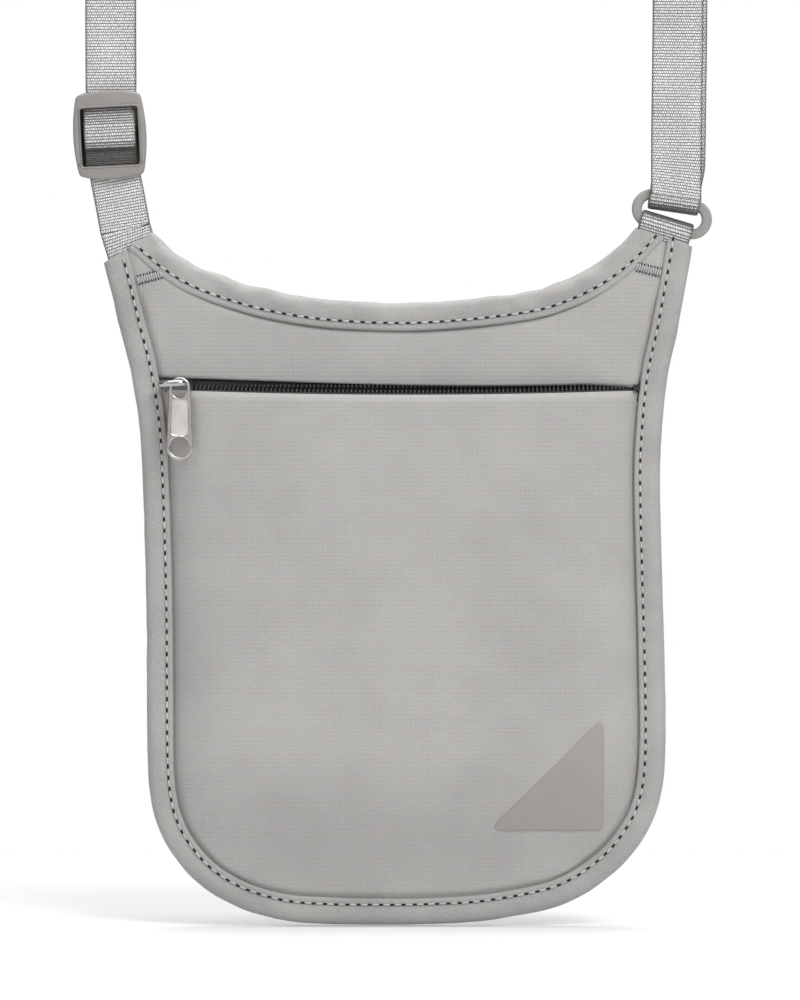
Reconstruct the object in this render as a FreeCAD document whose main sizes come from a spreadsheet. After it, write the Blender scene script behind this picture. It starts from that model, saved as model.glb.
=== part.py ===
import FreeCAD, Part

import math
import os

import Sketcher
from FreeCAD import Matrix, Placement, Rotation, Vector

# Neck pouch wallet that hangs from its strap. Lengths are in millimetres.
# The drawing frame has the pouch's foot at z = 0, its middle at x = 0, the strap's plane at y = 0 and
# the pouch's front towards -Y. Every node is then lowered by crown_height, so that the part's origin
# is the underside of the strap at its crown, where a neck or a hook holds it.

DIMENSIONS = {
    # pouch outline
    "foot_radius": 205.0,
    "corner_radius": 42.3,
    "corner_x": 31.5,
    "half_width": 73.8,
    "flare_start": 116.0,
    "flare_radius": 195.0,
    "horn_half_width": 84.0,
    "horn_outer_z": 190.5,
    "horn_inner_x": 69.0,
    "horn_inner_z": 195.8,
    "neck_low_z": 177.7,
    "neck_radius": 195.0,
    "neck_side_x": 38.0,
    # fabric layers
    "binding_band": 7.5,
    "binding_skin": 0.6,
    "binding_depth": 4.0,
    "binding_wall": 1.0,
    "edge_tuck": 1.2,
    "panel_skin": 0.6,
    "lining_skin": 0.3,
    "lining_top": 168.0,
    # pocket
    "lip_height": 152.4,
    "pocket_bulge": 7.6,
    "bulge_power": 9.0,
    "upper_panel_foot": 156.0,
    "card_slip_foot": 78.0,
    "card_slip_top": 147.0,
    "card_slip_half": 54.0,
    "card_slip_depth": 1.4,
    # zip
    "tape_skin": 0.45,
    "tape_height": 8.0,
    "tape_foot": 145.4,
    "tape_rise": 1.0,
    "tape_drop": 1.5,
    "coil_drop": 0.1,
    "coil_depth": 0.7,
    "coil_height": 1.6,
    "zip_start": 58.5,
    "zip_end": 65.4,
    "stop_length": 1.6,
    "slider_back_y": 0.25,
    "slider_channel": 0.55,
    "slider_x": -63.8,
    "slider_length": 6.6,
    "slider_height": 5.4,
    "slider_top": 152.0,
    "slider_plate": 0.5,
    "bridge_radius": 1.0,
    "bridge_z": 154.35,
    "bridge_y": -8.3,
    "pull_x": -63.0,
    "pull_top": 156.6,
    "pull_length": 23.7,
    "pull_top_width": 6.1,
    "pull_foot_width": 7.6,
    "pull_skin": 1.3,
    "pull_recess": 0.25,
    "pull_eye_width": 4.1,
    "pull_eye_height": 5.4,
    "pull_hole_radius": 2.87,
    "pull_hole_up": 3.35,
    "pull_dish_foot": 2.6,
    "pull_dish_head": 2.2,
    "bridge_gap": 0.25,
    # trim
    "patch_right": 57.4,
    "patch_foot": 27.3,
    "patch_side": 29.5,
    "patch_tip": 1.6,
    "patch_skin": 0.4,
    "tack_length": 6.6,
    "tack_height": 2.3,
    "tack_skin": 0.35,
    # strap and fittings
    "strap_width": 14.5,
    "strap_skin": 1.0,
    "layer_gap": 0.3,
    "crown_height": 515.2,
    "ring_x": 77.3,
    "ring_z": 203.1,
    "ring_y": 0.65,
    "ring_length": 23.3,
    "ring_height": 11.3,
    "ring_bar": 2.9,
    "ring_skin": 2.4,
    "ring_tilt": 15.0,
    "ring_play": 0.9,
    "adjuster_x": -83.2,
    "adjuster_z": 225.6,
    "adjuster_width": 20.9,
    "adjuster_height": 25.5,
    "adjuster_window": 16.5,
    "adjuster_skin": 2.5,
    "adjuster_front": -0.9,
    "adjuster_tilt": 2.8,
    "adjuster_crown": 1.2,
    "adjuster_belly": 1.3,
    "centre_bar_skin": 2.0,
    "centre_bar_height": 3.2,
    "centre_bar_y": 3.1,
    "wrap_skin": 0.9,
    "wrap_top": 13.5,
    "return_split_z": 350.0,
    # clearances
    "sewn_gap": 0.05,
    "joint_gap": 0.3,
}

doc = FreeCAD.newDocument("neck_pouch")
dims = doc.addObject("Spreadsheet::Sheet", "dims")
for row, (alias, value) in enumerate(DIMENSIONS.items(), start=1):
    dims.set(f"A{row}", alias)
    dims.set(f"B{row}", str(value))
    dims.setAlias(f"B{row}", alias)
doc.recompute()


def size(alias):
    return float(dims.get(alias))


ORIGIN_SHIFT = Vector(0, 0, -size("crown_height"))
STRAP_HALF = size("strap_width") / 2
STRAP_SKIN = size("strap_skin")
LAYER_PITCH = STRAP_SKIN + size("layer_gap")
SEWN_GAP = size("sewn_gap")
nodes = []


def named(obj, label, placement=None):
    """Gives a sub-part its node name and its place, and lists it for the export."""
    obj.Label = label
    local = placement or Placement()
    obj.Placement = Placement(ORIGIN_SHIFT, Rotation()).multiply(local)
    nodes.append(obj)
    return obj


# ---- sketches and pads ------------------------------------------------------------------------


def new_body(label):
    return doc.addObject("PartDesign::Body", label + "_body")


def origin_plane(body, role):
    return next(f for f in body.Origin.OriginFeatures if f.Role == role)


def new_sketch(body, name, role, offset=0.0):
    """A sketch on one of the body's own planes, moved along that plane's normal by offset."""
    sketch = body.newObject("Sketcher::SketchObject", name)
    sketch.AttachmentSupport = [(origin_plane(body, role), "")]
    sketch.MapMode = "FlatFace"
    sketch.AttachmentOffset = Placement(Vector(0, 0, offset), Rotation())
    return sketch


def front_sketch(body, name, y):
    """A sketch whose axes are X and Z, on the plane at that y; its pads grow towards -Y."""
    return new_sketch(body, name, "XZ_Plane", -y)


def add_pad(body, sketch, length, both_ways=False):
    """A pad along the sketch's normal; length is an expression on the sheet or a number."""
    pad = body.newObject("PartDesign::Pad", sketch.Name + "_pad")
    pad.Profile = sketch
    if isinstance(length, str):
        pad.setExpression("Length", length)
    else:
        pad.Length = length
    pad.Midplane = both_ways
    body.Tip = pad
    return pad


def add_pocket(body, sketch, length, reversed_cut=False):
    before = body.Shape.Volume
    pocket = body.newObject("PartDesign::Pocket", sketch.Name + "_pocket")
    pocket.Profile = sketch
    if isinstance(length, str):
        pocket.setExpression("Length", length)
    else:
        pocket.Length = length
    pocket.Reversed = reversed_cut
    body.Tip = pocket
    doc.recompute()
    if not body.Shape.Volume < before - 1e-6:
        raise RuntimeError(f"{sketch.Name} cuts nothing")
    return pocket


def line(a, b):
    return Part.LineSegment(Vector(*a, 0), Vector(*b, 0))


def polyline(points):
    """Straight edges through sketch points, closed."""
    return [line(a, b) for a, b in zip(points, points[1:] + points[:1])]


def arc_through(a, b, c):
    return Part.Arc(Vector(*a, 0), Vector(*b, 0), Vector(*c, 0))


def bound_rectangle(sketch, centre, width, height):
    """A rectangle about a centre, with its width and height bound to the sheet."""
    x, z = centre
    corners = [(x - 1, z - 1), (x + 1, z - 1), (x + 1, z + 1), (x - 1, z + 1)]
    sketch.addGeometry(polyline(corners), False)
    join = Sketcher.Constraint
    for side in range(4):
        sketch.addConstraint(join("Coincident", side, 2, (side + 1) % 4, 1))
    for side, way in enumerate(("Horizontal", "Vertical") * 2):
        sketch.addConstraint(join(way, side))
    across = sketch.addConstraint(join("DistanceX", 0, 1, 0, 2, 2.0))
    upward = sketch.addConstraint(join("DistanceY", 1, 1, 1, 2, 2.0))
    left = sketch.addConstraint(join("DistanceX", -1, 1, 0, 1, x - 1))
    foot = sketch.addConstraint(join("DistanceY", -1, 1, 0, 1, z - 1))
    sketch.setExpression(f"Constraints[{across}]", width)
    sketch.setExpression(f"Constraints[{upward}]", height)
    sketch.setExpression(f"Constraints[{left}]", f"{x} - ({width}) / 2")
    sketch.setExpression(f"Constraints[{foot}]", f"{z} - ({height}) / 2")


def plate(label, edges, y_back, thickness):
    """A flat piece of cloth: a closed outline in X and Z, from y_back towards the front."""
    body = new_body(label)
    sketch = front_sketch(body, label + "_outline", y_back)
    sketch.addGeometry(edges, False)
    add_pad(body, sketch, thickness)
    return named(body, label)


# ---- the pouch's outline ------------------------------------------------------------------------


class Side:
    """The right-hand edge from the foot's middle to the horn, set inwards by some distance."""

    def __init__(self, inset):
        foot = size("foot_radius")
        corner = size("corner_radius")
        flare = size("flare_radius")
        self.foot_r = foot - inset
        self.corner_r = corner - inset
        self.flare_r = flare + inset
        self.foot_centre = (0.0, foot)
        lean = math.asin(size("corner_x") / (foot - corner))
        self.lean = lean
        self.corner_centre = (size("half_width") - corner, foot - (foot - corner) * math.cos(lean))
        self.edge_x = size("half_width") - inset
        self.flare_centre = (size("half_width") + flare, size("flare_start"))
        run_x = size("horn_half_width") - size("half_width")
        run_z = size("horn_outer_z") - size("flare_start")
        self.tilt = self._tilt(flare, run_x, run_z)

    @staticmethod
    def _tilt(radius, run_x, run_z):
        """The slope of the straight stretch that leaves the flare's arc and meets the horn's corner."""
        low, high = 0.0, math.radians(40)
        for _ in range(60):
            tilt = (low + high) / 2
            left_x = run_x - radius * (1 - math.cos(tilt))
            left_z = run_z - radius * math.sin(tilt)
            if left_x * math.cos(tilt) > left_z * math.sin(tilt):
                low = tilt
            else:
                high = tilt
        return tilt

    def foot_point(self, angle):
        return (self.foot_r * math.sin(angle), self.foot_centre[1] - self.foot_r * math.cos(angle))

    def corner_point(self, angle):
        x, z = self.corner_centre
        return (x + self.corner_r * math.sin(angle), z - self.corner_r * math.cos(angle))

    def flare_point(self, angle):
        x, z = self.flare_centre
        return (x - self.flare_r * math.cos(angle), z + self.flare_r * math.sin(angle))

    def top_at(self, slope_line):
        """Where the straight stretch meets the horn's top edge, given as (point, direction)."""
        start = self.flare_point(self.tilt)
        step = (math.sin(self.tilt), math.cos(self.tilt))
        (px, pz), (dx, dz) = slope_line
        det = step[0] * -dz + dx * step[1]
        reach = ((px - start[0]) * -dz + dx * (pz - start[1])) / det
        return (start[0] + reach * step[0], start[1] + reach * step[1])

    def half_width_at(self, z):
        """How far the edge is from the middle at that height, 0 below the foot."""
        if z >= self.flare_centre[1]:
            rise = z - self.flare_centre[1]
            if rise < self.flare_r * math.sin(self.tilt):
                return self.flare_centre[0] - math.sqrt(self.flare_r**2 - rise**2)
            x, turn_z = self.flare_point(self.tilt)
            return x + (z - turn_z) * math.tan(self.tilt)
        if z >= self.corner_centre[1]:
            return self.edge_x
        if z >= self.corner_point(self.lean)[1]:
            drop = self.corner_centre[1] - z
            return self.corner_centre[0] + math.sqrt(self.corner_r**2 - drop**2)
        drop = self.foot_centre[1] - z
        return math.sqrt(max(self.foot_r**2 - drop**2, 0.0))


HORN_TOP = (
    (size("horn_inner_x"), size("horn_inner_z")),
    (size("horn_half_width") - size("horn_inner_x"), size("horn_outer_z") - size("horn_inner_z")),
)


def side_edges(side, *tops):
    """The right-hand edge as sketch geometry, from the foot's middle up through the flare and any tops."""
    middle = side.foot_point(0.0)
    foot_end = side.foot_point(side.lean)
    low = (side.edge_x, side.corner_centre[1])
    high = (side.edge_x, side.flare_centre[1])
    flare_end = side.flare_point(side.tilt)
    half = (side.lean + math.pi / 2) / 2
    edges = [
        arc_through(middle, side.foot_point(side.lean / 2), foot_end),
        arc_through(foot_end, side.corner_point(half), low),
        line(low, high),
        arc_through(high, side.flare_point(side.tilt / 2), flare_end),
    ]
    return edges + [line(a, b) for a, b in zip([flare_end, *tops], tops)]


def mirrored(edges):
    """The same sketch edges on the left-hand side."""
    flip = Matrix()
    flip.A11 = -1.0
    copies = []
    for edge in edges:
        twin = edge.copy()
        twin.transform(flip)
        copies.append(twin)
    return copies


def neck_edges(inset, end):
    """The right half of the neckline, from its middle to a point of the horn's top edge."""
    radius = size("neck_radius") + inset
    centre_z = size("neck_low_z") + size("neck_radius")
    turn = math.asin(size("neck_side_x") / size("neck_radius"))

    def low(angle):
        return (radius * math.sin(angle), centre_z - radius * math.cos(angle))

    start = low(turn)
    rise = math.atan2(end[1] - start[1], end[0] - start[0])
    chord = math.hypot(end[0] - start[0], end[1] - start[1])
    bend = rise - turn
    sag = chord / 2 * math.tan(bend / 2)
    middle = (
        (start[0] + end[0]) / 2 + sag * math.sin(rise),
        (start[1] + end[1]) / 2 - sag * math.cos(rise),
    )
    return [arc_through(low(0.0), low(turn / 2), start), arc_through(start, middle, end)]


def horn_point(share):
    """A point of the right horn's top edge, from its inner corner (0) to its outer corner (1)."""
    (x, z), (dx, dz) = HORN_TOP
    return (x + share * dx, z + share * dz)


HORN_SHIFT = 0.6
HORN_FALL = 0.35


def horn_corners(inset):
    """The right horn's outer and inner top corners, set inwards."""
    (x, z), slope = HORN_TOP
    outer = Side(inset).top_at(((x, z - inset), slope))
    shift = HORN_SHIFT * inset
    return outer, (x + shift, z - inset - HORN_FALL * shift)


def body_outline(inset):
    """The whole pouch's outline, set inwards."""
    side = Side(inset)
    outer, inner = horn_corners(inset)
    right = side_edges(side, outer) + [line(outer, inner)]
    right += neck_edges(inset, inner)
    return right + mirrored(right)


# ---- cloth that stands proud ---------------------------------------------------------------------


INNER_SIDE = Side(size("binding_band") + 0.5)
TUCKED_SIDE = Side(size("edge_tuck"))
PANEL_EDGE_Y = -(size("binding_depth") / 2 - size("binding_skin") - SEWN_GAP)
BULGE_FOOT = size("binding_band") + 1.0
BULGE_RISE = 42.0
FOOT_SHARE = 0.9
EDGE_SHARE = 0.985
PATCH_COLUMNS = 8
# Heights at which the stuffed pocket's sheets are drawn, from the foot up to where it is straight.
SHEET_HEIGHTS = (1.6, 3.0, 5.0, 8.2, 12.0, 17.0, 24.0, 33.0, 43.0, 52.0, 80.0, 122.0, 138.0)
# Shares of the half width at which a sheet turns, close together where the pocket falls off.
BULGE_STEPS = (0.0, 0.35, 0.6, 0.74, 0.83, 0.89, 0.93, 0.96, 0.98, 1.0)


def smooth(value):
    value = min(max(value, 0.0), 1.0)
    return value * value * (3 - 2 * value)


def bulge_at(x, z):
    """How far the stuffed pocket stands in front of its sewn edge."""
    half = INNER_SIDE.half_width_at(z) if z > BULGE_FOOT else 0.0
    if abs(x) >= half:
        return 0.0
    lift = smooth((z - BULGE_FOOT - 1.0) / BULGE_RISE)
    return size("pocket_bulge") * lift * (1 - (abs(x) / half) ** size("bulge_power"))


def closed_wire(points):
    return Part.makePolygon([*points, points[0]])


def ruled_solid(outlines):
    """A closed solid through outlines that all have the same number of corners."""
    shape = Part.makeLoft([closed_wire(p) for p in outlines], True, True)
    if shape.Volume < 0:
        shape.reverse()
    return shape


def crowned_sheet(label, heights, reach, back_y, thickness):
    """A sheet that follows the stuffed pocket's front, laid off at back_y from the sewn plane."""
    outlines = []
    for z in heights:
        left, right = reach(z)
        inner = INNER_SIDE.half_width_at(z) if z > BULGE_FOOT else right * FOOT_SHARE
        inner = min(inner, right * EDGE_SHARE)
        columns = [inner * s for s in BULGE_STEPS] + [right]
        xs = [-x for x in reversed(columns[1:])] + columns
        if left != -right:
            xs = [left + (right - left) * n / PATCH_COLUMNS for n in range(PATCH_COLUMNS + 1)]
        back = [Vector(x, back_y - bulge_at(x, z), z) for x in xs]
        front = [p - Vector(0, thickness, 0) for p in reversed(back)]
        outlines.append(back + front)
    feature = doc.addObject("Part::Feature", label)
    feature.Shape = ruled_solid(outlines)
    return named(feature, label)


def lip_strip(label, back_y, thickness, heights, x_from, x_to):
    """A strip along the pocket's lip that follows the pocket's front, laid off at back_y."""
    lip_half = INNER_SIDE.half_width_at(size("lip_height"))
    steps = sorted({side * step for step in BULGE_STEPS for side in (-1, 1)})
    shares = [x_from / lip_half, *(s for s in steps if x_from < s * lip_half < x_to), x_to / lip_half]
    outlines = []
    for z in heights:
        xs = [share * INNER_SIDE.half_width_at(z) for share in shares]
        back = [Vector(x, back_y - bulge_at(x, z), z) for x in xs]
        front = [p - Vector(0, thickness, 0) for p in reversed(back)]
        outlines.append(back + front)
    feature = doc.addObject("Part::Feature", label)
    feature.Shape = ruled_solid(outlines)
    return named(feature, label)


def make_panels():
    skin = size("panel_skin")
    back_y = -PANEL_EDGE_Y
    plate("back_panel", body_outline(size("edge_tuck")), back_y, "dims.panel_skin")

    side = Side(size("edge_tuck"))
    top = size("lining_top")
    right = side_edges(side, (side.half_width_at(top), top), (0, top))
    plate("back_lining", right + mirrored(right), back_y - skin - SEWN_GAP, "dims.lining_skin")

    foot = size("upper_panel_foot")
    outer, inner = horn_corners(size("edge_tuck"))
    foot_corner = (side.half_width_at(foot), foot)
    flare_end = side.flare_point(side.tilt)
    stations = [(0, foot), foot_corner, flare_end, outer, inner]
    right = [line(a, b) for a, b in zip(stations, stations[1:])]
    right += neck_edges(size("edge_tuck"), inner)
    plate("upper_panel", right + mirrored(right), PANEL_EDGE_Y + skin, "dims.panel_skin")

    heights = [*SHEET_HEIGHTS, size("tape_foot"), size("lip_height")]

    def whole(z):
        half = TUCKED_SIDE.half_width_at(z)
        return -half, half

    lining = size("lining_skin")
    crowned_sheet("front_panel", heights, whole, PANEL_EDGE_Y + skin, skin)
    crowned_sheet("front_lining", heights, whole, PANEL_EDGE_Y + skin + SEWN_GAP + lining, lining)


def make_card_slip():
    """A slip sewn behind the lining: two upright card slots side by side."""
    layer = PANEL_EDGE_Y + size("panel_skin") + size("lining_skin") + size("card_slip_depth")
    half = size("card_slip_half")
    heights = [size("card_slip_foot"), *SHEET_HEIGHTS[-2:], size("card_slip_top")]
    lip_strip("card_slip", layer, size("lining_skin"), heights, -half, half)


# ---- bindings ------------------------------------------------------------------------------------


def folded_tape(label, band, wall):
    """A tape folded over an edge: front leg, wall round the edge and back leg, as three pads."""
    half = size("binding_depth") / 2
    skin = size("binding_skin")
    body = new_body(label)
    back = front_sketch(body, label + "_back_leg", half)
    back.addGeometry(band, False)
    add_pad(body, back, "dims.binding_skin")
    middle = front_sketch(body, label + "_wall", half - skin)
    middle.addGeometry(wall, False)
    add_pad(body, middle, "dims.binding_depth - 2 * dims.binding_skin")
    front = front_sketch(body, label + "_front_leg", -half + skin)
    front.addGeometry([edge.copy() for edge in band], False)
    add_pad(body, front, "dims.binding_skin")
    return body


def band_outline(inset):
    """Sides and foot as one closed band from the outer edge to inset, ending at the horns' top edges."""
    outer, inner = Side(0.0), Side(inset)
    outer_top, inner_top = outer.top_at(HORN_TOP), inner.top_at(HORN_TOP)
    joint = line(outer_top, inner_top)
    right = [*side_edges(outer, outer_top), joint, *side_edges(inner, inner_top)]
    return right + mirrored(right)


# How much of the horn's top edge each millimetre of the neckline's tape covers.
HORN_COVER = 0.9 / 14.0


def neck_band(inset):
    """The neckline's band, ending where the side band begins."""
    stop = Side(size("binding_band") + size("joint_gap")).top_at(HORN_TOP)
    (x, z), (dx, dz) = HORN_TOP
    end = horn_point(min((stop[0] - x) / dx, HORN_COVER * inset))
    right = neck_edges(0.0, (x, z)) + [line((x, z), end)]
    lowered = neck_edges(inset, end)
    return right + lowered + mirrored(right + lowered)


def make_bindings():
    band = size("binding_band")
    wall = size("binding_wall")
    sides = folded_tape("side_binding", band_outline(band), band_outline(wall))
    named(sides, "side_binding")
    neck = folded_tape("neckline_binding", neck_band(band), neck_band(wall))
    named(neck, "neckline_binding")


# ---- zip -----------------------------------------------------------------------------------------


def make_zip():
    tape = size("tape_skin")
    coil = size("coil_depth")
    lip = size("lip_height")
    start, end = -size("zip_start"), size("zip_end")
    behind_lining = PANEL_EDGE_Y + size("panel_skin") + size("lining_skin") + 3 * SEWN_GAP
    tape_heights = [size("tape_foot"), lip, lip + size("tape_rise")]
    lip_strip("zip_tape_lower", behind_lining + tape, tape, tape_heights, start, end)
    teeth_y = behind_lining + tape + SEWN_GAP
    coil_foot = lip - size("coil_height") / 2
    coil_heights = [coil_foot, coil_foot + size("coil_height")]
    lip_strip("zip_coil_lower", teeth_y + coil, coil, coil_heights, start, end)

    hang_y = PANEL_EDGE_Y + size("panel_skin") + SEWN_GAP
    row_z = lip - size("coil_drop")
    foot = size("upper_panel_foot")
    for label, back_y, thickness, height, centre_z in (
        ("zip_tape_upper", hang_y + tape, "dims.tape_skin", "dims.tape_height", foot - size("tape_drop")),
        ("zip_coil_upper", hang_y - SEWN_GAP, "dims.coil_depth", "dims.coil_height", row_z),
    ):
        body = new_body(label)
        sketch = front_sketch(body, label + "_strip", back_y)
        middle = ((start + end) / 2, centre_z)
        bound_rectangle(sketch, middle, "dims.zip_start + dims.zip_end", height)
        add_pad(body, sketch, thickness)
        named(body, label)


def make_zip_stops():
    """The crimped stops at the far ends of the two rows, as two solids of one node."""
    blocks = []
    x = size("zip_end") + size("stop_length") / 2
    depth = size("coil_depth")
    lower_y = -4 * SEWN_GAP - bulge_at(x, size("lip_height"))
    for y in (lower_y - depth, PANEL_EDGE_Y - depth / 2):
        block = doc.addObject("Part::Box", "zip_stop")
        block.setExpression("Length", "dims.stop_length")
        block.setExpression("Width", "dims.coil_depth")
        block.setExpression("Height", "dims.coil_height")
        block.Placement.Base = Vector(x, y, size("lip_height") + 5 * SEWN_GAP)
        blocks.append(block)
    group = doc.addObject("Part::Compound", "zip_stops")
    group.Links = blocks
    return named(group, "zip_stops")


def make_slider():
    """Two plates either side of the coil, joined by a post, and a bridge over the pocket's lip."""
    x, top = size("slider_x"), size("slider_top")
    length, height, skin = size("slider_length"), size("slider_height"), size("slider_plate")
    body = new_body("zip_slider")
    left, right, foot = x - length / 2, x + length / 2, top - height
    shield = [
        (left + 0.8, foot),
        (right - 1.6, foot + 0.9),
        (right, foot + 2.0),
        (right, top - 1.2),
        (right - 1.6, top - 0.4),
        (left + 0.8, top),
        (left, top - 0.8),
        (left, foot + 0.8),
    ]
    back_y = size("slider_back_y")
    front_y = back_y - skin - size("slider_channel")
    middle = foot + height / 2
    wedge = [(left + 0.8, middle - 1.0), (right - 4.4, middle), (left + 0.8, middle + 1.0)]
    radius = size("bridge_radius")
    bridge_z, bridge_y = size("bridge_z"), size("bridge_y")
    arm_right = left + 1.5
    low, high = bridge_z - 0.9, bridge_z + 0.9
    arm = [(left, top - 1.5), (arm_right, top - 1.5), (arm_right, high), (left, high)]
    reach = [(left, low), (arm_right, low), (arm_right, high), (left, high)]
    for name, outline, y, depth in (
        ("back_plate", shield, back_y, "dims.slider_plate"),
        ("post", wedge, back_y - skin, "dims.slider_channel"),
        ("front_plate", shield, front_y, "dims.slider_plate"),
        ("bridge_arm", arm, front_y, "dims.slider_plate"),
        ("bridge_reach", reach, front_y, front_y - bridge_y),
    ):
        sketch = front_sketch(body, "slider_" + name, y)
        sketch.addGeometry(polyline(outline), False)
        add_pad(body, sketch, depth)
    bar = new_sketch(body, "bridge_bar", "YZ_Plane", left)
    bar.addGeometry(Part.Circle(Vector(bridge_y, bridge_z, 0), Vector(0, 0, 1), radius), False)
    eye_right = size("pull_x") + size("pull_eye_width") / 2
    add_pad(body, bar, eye_right - 0.35 - left)
    return named(body, "zip_slider")


def make_pull():
    """The pull tab: tapered plate with a dished face, an eye round the bridge and a finger hole."""
    x, top = size("pull_x"), size("pull_top")
    foot = top - size("pull_length")
    head, heel = size("pull_top_width") / 2, size("pull_foot_width") / 2
    skin = size("pull_skin")
    y_back = size("bridge_y") + skin / 2
    body = new_body("zip_pull")
    sketch = front_sketch(body, "pull_outline", y_back)
    shoulder, hip = top - head, foot + heel
    sketch.addGeometry(
        [
            line((x - head, shoulder), (x - heel, hip)),
            arc_through((x - heel, hip), (x, foot), (x + heel, hip)),
            line((x + heel, hip), (x + head, shoulder)),
            arc_through((x + head, shoulder), (x, top), (x - head, shoulder)),
        ],
        False,
    )
    add_pad(body, sketch, "dims.pull_skin")
    doc.recompute()

    eye_half = size("pull_eye_width") / 2
    eye_top = top - 1.0
    eye_foot = eye_top - size("pull_eye_height")
    eye = front_sketch(body, "pull_eye", y_back)
    west, east = x - eye_half, x + eye_half
    low, high = eye_foot + eye_half, eye_top - eye_half
    eye.addGeometry(
        [
            line((west, high), (west, low)),
            arc_through((west, low), (x, eye_foot), (east, low)),
            line((east, low), (east, high)),
            arc_through((east, high), (x, eye_top), (west, high)),
        ],
        False,
    )
    through = skin + 0.2
    add_pocket(body, eye, through, True)
    hole = front_sketch(body, "pull_hole", y_back)
    hole_z = foot + size("pull_hole_up")
    hole.addGeometry(Part.Circle(Vector(x, hole_z, 0), Vector(0, 0, 1), size("pull_hole_radius")), False)
    add_pocket(body, hole, through, True)

    dish = front_sketch(body, "pull_dish", y_back - skin)
    low, high = hole_z + 4.0, eye_foot - 1.3
    wide, narrow = size("pull_dish_foot"), size("pull_dish_head")
    corners = [(x - wide, low), (x + wide, low), (x + narrow, high), (x - narrow, high)]
    dish.addGeometry(polyline(corners), False)
    add_pocket(body, dish, "dims.pull_recess")

    notch = new_sketch(body, "bridge_notch", "YZ_Plane", x - head - 1.0)
    clear = size("bridge_radius") + size("bridge_gap")
    centre = Vector(size("bridge_y"), size("bridge_z"), 0)
    notch.addGeometry(Part.Circle(centre, Vector(0, 0, 1), clear), False)
    add_pocket(body, notch, head + 1.0 + eye_half, True)
    return named(body, "zip_pull")


# ---- trim ----------------------------------------------------------------------------------------


def make_patch():
    right, foot, side = size("patch_right"), size("patch_foot"), size("patch_side")
    tip = size("patch_tip")
    rows = 6

    def reach(z):
        return right - tip - (side - tip) * (1 - (z - foot) / side), right

    heights = [foot + side * n / rows for n in range(rows + 1)]
    crowned_sheet("corner_patch", heights, reach, PANEL_EDGE_Y - 3 * SEWN_GAP, size("patch_skin"))


# Each tack's middle, as x and z, and its tilt in degrees.
TACK_SPOTS = ((-71.3, 185.0, 15.0), (70.6, 186.4, -14.0))


def make_bar_tacks():
    """A dense zigzag of thread at the foot of each horn, as two solids of one node."""
    blocks = []
    face_y = -size("binding_depth") / 2 - SEWN_GAP
    for x, z, tilt in TACK_SPOTS:
        block = doc.addObject("Part::Box", "bar_tack")
        block.setExpression("Length", "dims.tack_length")
        block.setExpression("Width", "dims.tack_skin")
        block.setExpression("Height", "dims.tack_height")
        turn = Rotation(Vector(0, 1, 0), -tilt)
        corner = Vector(-size("tack_length") / 2, 0, -size("tack_height") / 2)
        base = Vector(x, face_y - size("tack_skin"), z) + turn.multVec(corner)
        block.Placement = Placement(base, turn)
        blocks.append(block)
    group = doc.addObject("Part::Compound", "bar_tacks")
    group.Links = blocks
    return named(group, "bar_tacks")


# ---- strap ---------------------------------------------------------------------------------------


# The front layer's route from the left horn, over the neck and down to the ring, as x and z.
STRAP_ROUTE = [
    (-78.9, 199.0),
    (-80.3, 206.8),
    (-82.2, 216.0),
    (-83.1, 226.0),
    (-83.1, 352.0),
    (-82.3, 405.0),
    (-77.3, 455.0),
    (-62.0, 494.0),
    (-30.0, 517.0),
    (26.0, 517.0),
    (58.5, 494.0),
    (74.3, 455.0),
    (79.0, 405.0),
    (79.3, 345.0),
    (79.1, 262.0),
    (78.6, 228.0),
    (78.4, 207.2),
]
TWIST_FROM = 360.0
TWIST_TO = 500.0
SETTLE_FROM = 228.0
RING_END_Z = 207.2
SECTION_PITCH = 8.0


def tangent_path(route):
    """Straight runs joined by tangent arcs, each as large as its two runs allow."""
    points = [Vector(x, 0, z) for x, z in route]
    edges, last = [], points[0]
    for before, corner, after in zip(points, points[1:], points[2:]):
        shorter = min((corner - before).Length, (after - corner).Length)
        turn = (corner - before).getAngle(after - corner)
        cut = 0.45 * shorter
        radius = cut / math.tan(turn / 2)
        entry = corner + (before - corner).normalize() * cut
        leave = corner + (after - corner).normalize() * cut
        chord_mid = (entry + leave) / 2
        away = radius * (1 / math.cos(turn / 2) - 1)
        middle = corner + (chord_mid - corner).normalize() * away
        edges.append(Part.LineSegment(last, entry).toShape())
        edges.append(Part.Arc(entry, middle, leave).toShape())
        last = leave
    edges.append(Part.LineSegment(last, points[-1]).toShape())
    return Part.Wire(edges)


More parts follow.
